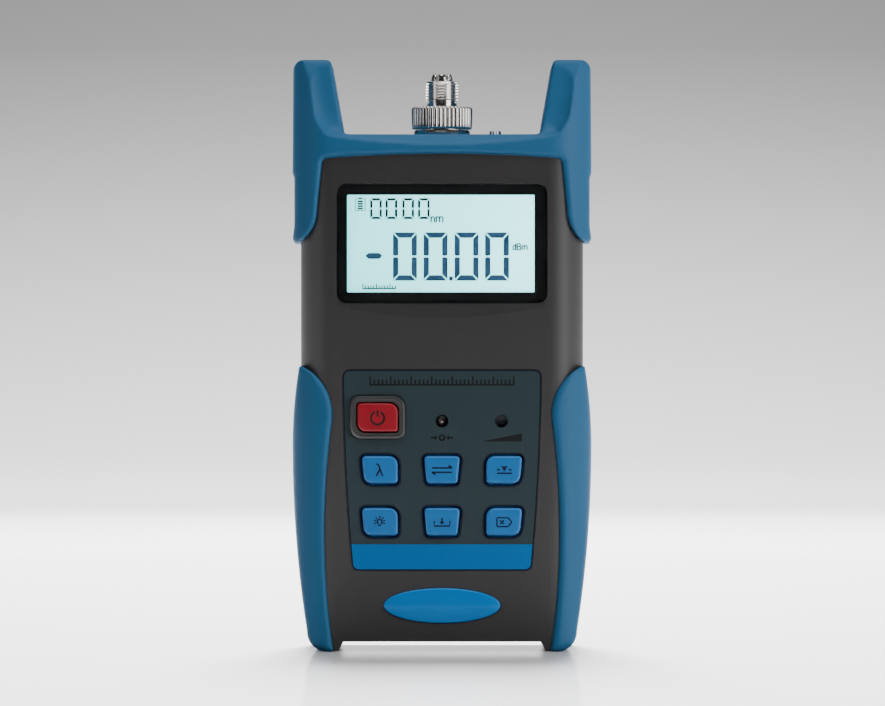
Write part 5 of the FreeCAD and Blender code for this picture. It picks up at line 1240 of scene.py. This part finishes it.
# %% The threaded barrel
barrel_foot, barrel_top = [corner[2] for corner in box_mm("adapter_barrel")]
BARREL, NECK, SLEEVE_ROOM, THREAD, THREAD_PITCH, FADE = 4.95, 4.5, 3.26, 0.4, 0.85, 0.5
FLANGE, FLANGE_TOP, SLOT_HALF, SLOT_FLOOR = 5.6, ring_top - RING_LIP - 0.05, 2.1 / 2, 3.6
thread_foot = ring_top + 1.7
slot_edge = math.asin(SLOT_HALF / BARREL)
open_turns = np.linspace(math.pi / 2 + slot_edge, math.pi * 2.5 - slot_edge, 121)
slot_turns = np.linspace(math.pi / 2 - slot_edge, math.pi / 2 + slot_edge, 7)
turns = np.concatenate([open_turns, slot_turns])
in_slot = np.arange(len(turns)) >= len(open_turns)
wound = np.arange(thread_foot + 0.1, barrel_top - 0.35, THREAD_PITCH / 10)
lower = [(SLEEVE_ROOM, barrel_foot), (FLANGE, barrel_foot), (FLANGE, FLANGE_TOP), (NECK, FLANGE_TOP),
         (NECK, thread_foot - 0.25), (NECK + 0.1, thread_foot - 0.05)]
upper = [(BARREL - 0.2, barrel_top - 0.25), (BARREL - 0.5, barrel_top), (SLEEVE_ROOM, barrel_top)]
r, z = column(lower + [(BARREL, height) for height in wound] + upper)
threaded = (z > thread_foot) & (z < barrel_top - 0.3) & (r == BARREL)
fade = np.clip((z - thread_foot) / FADE, 0, 1) * np.clip((barrel_top - 0.2 - z) / FADE, 0, 1)
ramp = np.abs(((z / THREAD_PITCH - turns / (2 * math.pi)) % 1.0) * 2 - 1)
flank = np.clip(ramp * 1.5 - 0.25, 0, 1)
r = np.where(threaded, BARREL - THREAD * (1 - fade * flank), r)
r = np.where(in_slot & (z > thread_foot - 0.1) & (r > SLOT_FLOOR), SLOT_FLOOR, r)
barrel = new_object("threaded_barrel", *spun(r, z, turns))
ride(barrel, nickel, "adapter", "nickel", "adapter_barrel")
print("barrel:", len(barrel.data.polygons), "faces")

# %% [markdown]
# ## The split sleeve
# The sleeve that guides the fibre's ferrule ends in a collet: its top is sawn
# into six springy fingers whose tips are bevelled. Boolean cuts would leave a
# ragged mesh on so small a piece. Here the columns of the grid that lie in a
# saw cut simply stop lower down than the others.

# %% The split sleeve
sleeve_foot, sleeve_top = [corner[2] for corner in box_mm("ferrule_sleeve")]
FERRULE, COUNTERBORE, SLEEVE, FINGERS, SAW = 1.25, 1.9, 3.2, 6, math.radians(15)
SAW_DEPTH, TIP_DROP = 2.45, 0.8
step = 2 * math.pi / FINGERS
finger = np.linspace(SAW / 2, step - SAW / 2, 6)
saw = np.linspace(-SAW / 2, SAW / 2, 3)
turns = np.concatenate([np.concatenate([saw, finger]) + k * step for k in range(FINGERS)])
in_saw = np.tile([True] * len(saw) + [False] * len(finger), FINGERS)
across = np.tile(np.concatenate([np.zeros(len(saw)), np.linspace(-1, 1, len(finger))]), FINGERS)
r, z = column([
    (FERRULE, sleeve_foot), (SLEEVE, sleeve_foot), (SLEEVE, sleeve_top - 2.6), (SLEEVE, sleeve_top - 0.9),
    (SLEEVE - 0.45, sleeve_top), (SLEEVE - 0.7, sleeve_top), (SLEEVE - 0.8, sleeve_top - 2.5),
    (COUNTERBORE, sleeve_top - 2.5), (COUNTERBORE, sleeve_top - 0.8), (FERRULE, sleeve_top - 0.8)])
split = (r > COUNTERBORE + 0.1) & (z > sleeve_top - SAW_DEPTH)
z = np.where(split & in_saw, sleeve_top - SAW_DEPTH, z - split * TIP_DROP * np.abs(across))
sleeve = new_object("split_sleeve", *spun(r, z, turns))
ride(sleeve, nickel, "adapter", "nickel", "ferrule_sleeve")
print("sleeve:", len(sleeve.data.polygons), "faces")

# %% [markdown]
# ## Screws
# A slotted screw beside the port holds a lanyard. A screw is turned, but its
# slot is milled, so the distance rule suits it better than a spun profile: a
# head and a shank joined, less a slot.

# %% The lanyard screw
screw_low, screw_high = box_mm("lanyard_screw")
HEAD, HEAD_ROUND, SHANK, SLOT, SLOT_DEEP, OVERLAP = 1.75, 0.3, 1.0, 0.3, 0.9, 0.2
axis_x, axis_y = (screw_low[:2] + screw_high[:2]) / 2


def lanyard_rule(x, y, z):
    """Distance to the screw: a rounded head over a shank, less a slot across the head along Y."""
    out = np.hypot(x - axis_x, y - axis_y)
    head = both(out - HEAD, np.maximum(z - screw_high[2], BAR_TOP - z), HEAD_ROUND)
    shank = np.maximum(out - SHANK, np.maximum(z - BAR_TOP - OVERLAP, screw_low[2] - z))
    slot = np.maximum(np.abs(x - axis_x) - SLOT, screw_high[2] - SLOT_DEEP - z)
    return np.maximum(np.minimum(head, shank), -slot)


screw = new_object("slotted_lanyard_screw", *skin(lanyard_rule, screw_low - 0.4, screw_high + 0.4, 0.14))
ride(screw, zinc, "meter", "screw_steel", "lanyard_screw")
print("lanyard screw:", len(screw.data.polygons), "faces")

# %% [markdown]
# ## The case screws
# Four cross-head screws close the case from behind. They are one node of the
# frame, so they are one piece here: the screw is worked out once about the
# origin, and its points are moved to the four corners of the node's box.

# %% The case screws
case_low, case_high = box_mm("case_screws")
PAN, PAN_THICK, PAN_ROUND, CASE_SHANK = 2.3, 1.5, 0.5, 1.25
SEAT, CROSS, CROSS_ARM, CROSS_DEEP = FACE - 3.0, 0.32, 1.3, 0.9


def case_screw_rule(x, y, z):
    """Distance to a screw along Y about 0, 0: a pan head behind its seat, a shank ahead, less a cross."""
    out = np.hypot(x, z)
    head = both(out - PAN, np.maximum(y - SEAT - PAN_THICK, SEAT - y), PAN_ROUND)
    shank = np.maximum(out - CASE_SHANK, np.maximum(y - SEAT - OVERLAP, case_low[1] - y))
    arms = np.minimum(np.maximum(np.abs(x) - CROSS, np.abs(z) - CROSS_ARM),
                      np.maximum(np.abs(z) - CROSS, np.abs(x) - CROSS_ARM))
    cross = np.maximum(arms, SEAT + PAN_THICK - CROSS_DEEP - y)
    return np.maximum(np.minimum(head, shank), -cross)


reach = PAN + 0.5
points, faces = skin(
    case_screw_rule, (-reach, case_low[1] - 0.5, -reach), (reach, case_high[1] + 0.5, reach), 0.25)
spots = [(side * (case_high[0] - PAN), 0, height)
         for side in (-1, 1) for height in (case_low[2] + PAN, case_high[2] - PAN)]
screws = new_object("cross_head_case_screws", np.concatenate([points + spot for spot in spots]),
                    np.concatenate([np.array(faces) + len(points) * k for k in range(len(spots))]))
ride(screws, zinc, "meter", "screw_steel", "case_screws")
print("case screws:", len(screws.data.polygons), "faces")

# %% [markdown]
# ## Floor and backdrop
# The instrument stands on a sheet of pale, glossy acrylic that runs back and
# curves up into the backdrop. Its colour is white where it is the floor and
# greyer further back and with height, which is painted shade for the light
# falling off up the backdrop. It is matt beyond the floor, so that only the
# feet are mirrored. A lamp with a gradient could shade it too; painted shade
# holds still when lamps move. Its surface is not quite flat, by waves 2
# mm long, which breaks up the mirror image a little. It is hidden from
# diffuse rays, as a black flag would keep its glare off the instrument.

# %% Floor and backdrop
FLOOR_FRONT, FLOOR_BACK, SWEEP_RADIUS, WALL_TOP, HALF_SHEET = -260.0, 1150.0, 500.0, 2600.0, 2500.0
turn = np.linspace(0, math.pi / 2, 25)
floor_line = np.concatenate([
    [[FLOOR_FRONT, 0.0]],
    np.stack([FLOOR_BACK + SWEEP_RADIUS * np.sin(turn), SWEEP_RADIUS * (1 - np.cos(turn))], 1),
    [[FLOOR_BACK + SWEEP_RADIUS, WALL_TOP]]])
rows = np.repeat(floor_line, 2, axis=0)
sweep_points = np.insert(rows, 0, np.tile([-HALF_SHEET, HALF_SHEET], len(floor_line)), axis=1)
sweep = new_object("sweep", sweep_points, grid_faces(len(floor_line), 2))
sweep.visible_diffuse = False

paper, tree, shader, place = new_material("sweep_sheet_painted_shade", {"IOR": 1.4})
axes = add(tree, "ShaderNodeSeparateXYZ", None, {"Vector": place})
far = add(tree, "ShaderNodeMapRange", None, {
    "Value": axes.outputs["Y"], "From Min": 0.5, "From Max": 1.15, "To Max": 0.009})
along = add(tree, "ShaderNodeMath", {"operation": "ADD"}, {0: axes.outputs["Z"], 1: far.outputs[0]})
height = add(tree, "ShaderNodeMapRange", None, {"Value": along.outputs[0], "From Min": 0.0, "From Max": 0.4})
# Painted shade: the sheet's colour darkens with height and further back, where the light falls off.
painted_shades = add(tree, "ShaderNodeValToRGB", None, {"Fac": height.outputs[0]})
ramp = painted_shades.color_ramp.elements
ramp[0].color, ramp[1].color = linear("#f0f0f1"), linear("#525252")
for spot, code in ((0.022, "#9e9e9e"), (0.09, "#8f8f8f"), (0.24, "#878787"),
                   (0.4, "#7b7b7b"), (0.6, "#686868"), (0.76, "#585858")):
    ramp.new(spot).color = linear(code)
matt = add(tree, "ShaderNodeMapRange", None, {
    "Value": along.outputs[0], "From Min": 0.0, "From Max": 0.02, "To Min": 0.1, "To Max": 1.0})
tree.links.new(matt.outputs[0], shader.inputs["Roughness"])
tree.links.new(painted_shades.outputs["Color"], shader.inputs["Base Color"])
grained(tree, shader, place, 2.0, 0.01)
dress(sweep, paper)
print("sweep:", len(sweep.data.polygons), "faces,", len(ramp), "painted_shades")

# %% [markdown]
# ## Light
# A studio lights a glossy instrument with wide, soft boxes, because metal and
# plastic show the lamps themselves. A wide box hangs overhead and a small one
# in front of it. A tall key lamp stands to the right of the camera and
# another beside the instrument on the right, so metal shows broad bright
# bands there, and a narrow strip far on the left gives the second band. The
# dark room left of the camera gives the nickel its dark lines. A strong lamp
# over the table is linked to the sheet alone and keeps the floor white. An
# image of a room could light it all, but lamps can be moved one by one.

# %% Light
def lamp(name, place_mm, aim_mm, size_mm, watts):
    """A soft rectangular lamp at one point that faces another: its -Z axis lies on the line between them."""
    data = bpy.data.lights.new(name, "AREA")
    data.shape = "RECTANGLE"
    data.size, data.size_y = size_mm[0] * MM, size_mm[1] * MM
    data.energy = watts
    thing = bpy.data.objects.new(name, data)
    place, aim = np.array(place_mm, float), np.array(aim_mm, float)
    thing.location = (place * MM).tolist()
    thing.rotation_euler = Vector((aim - place).tolist()).to_track_quat("-Z", "Y").to_euler()
    bpy.context.scene.collection.objects.link(thing)
    return thing


lamp("top_lamp", (0, 450, 1500), (0, 300, 0), (1900, 1500), 9.0)
lamp("front_top_lamp", (-60, -420, 850), (0, 0, 150), (500, 300), 3.0)
lamp("right_key_lamp", (430, -330, 170), (0, 0, 90), (300, 500), 2.3)
lamp("right_side_lamp", (1200, 150, 350), (0, 0, 100), (700, 900), 1.0)
lamp("left_lamp", (-1100, -700, 350), (0, 0, 90), (250, 900), 2.1)
table_lamp = lamp("table_lamp", (0, 700, 1250), (0, 0, 0), (450, 850), 225.0)
sheet_only = bpy.data.collections.new("sheet_only")
sheet_only.objects.link(sweep)
table_lamp.light_linking.receiver_collection = sheet_only

world = bpy.data.worlds.new("studio")
bpy.context.scene.world = world
world.use_nodes = True
dim_room = world.node_tree.nodes["Background"].inputs
dim_room["Color"].default_value = linear("#c4c6ca")
dim_room["Strength"].default_value = 0.06
print("lamps:", len(bpy.data.lights))

# %% [markdown]
# ## The last line
# The last line brings the view layer up to date.

# %% The last lines
bpy.context.view_layer.update()
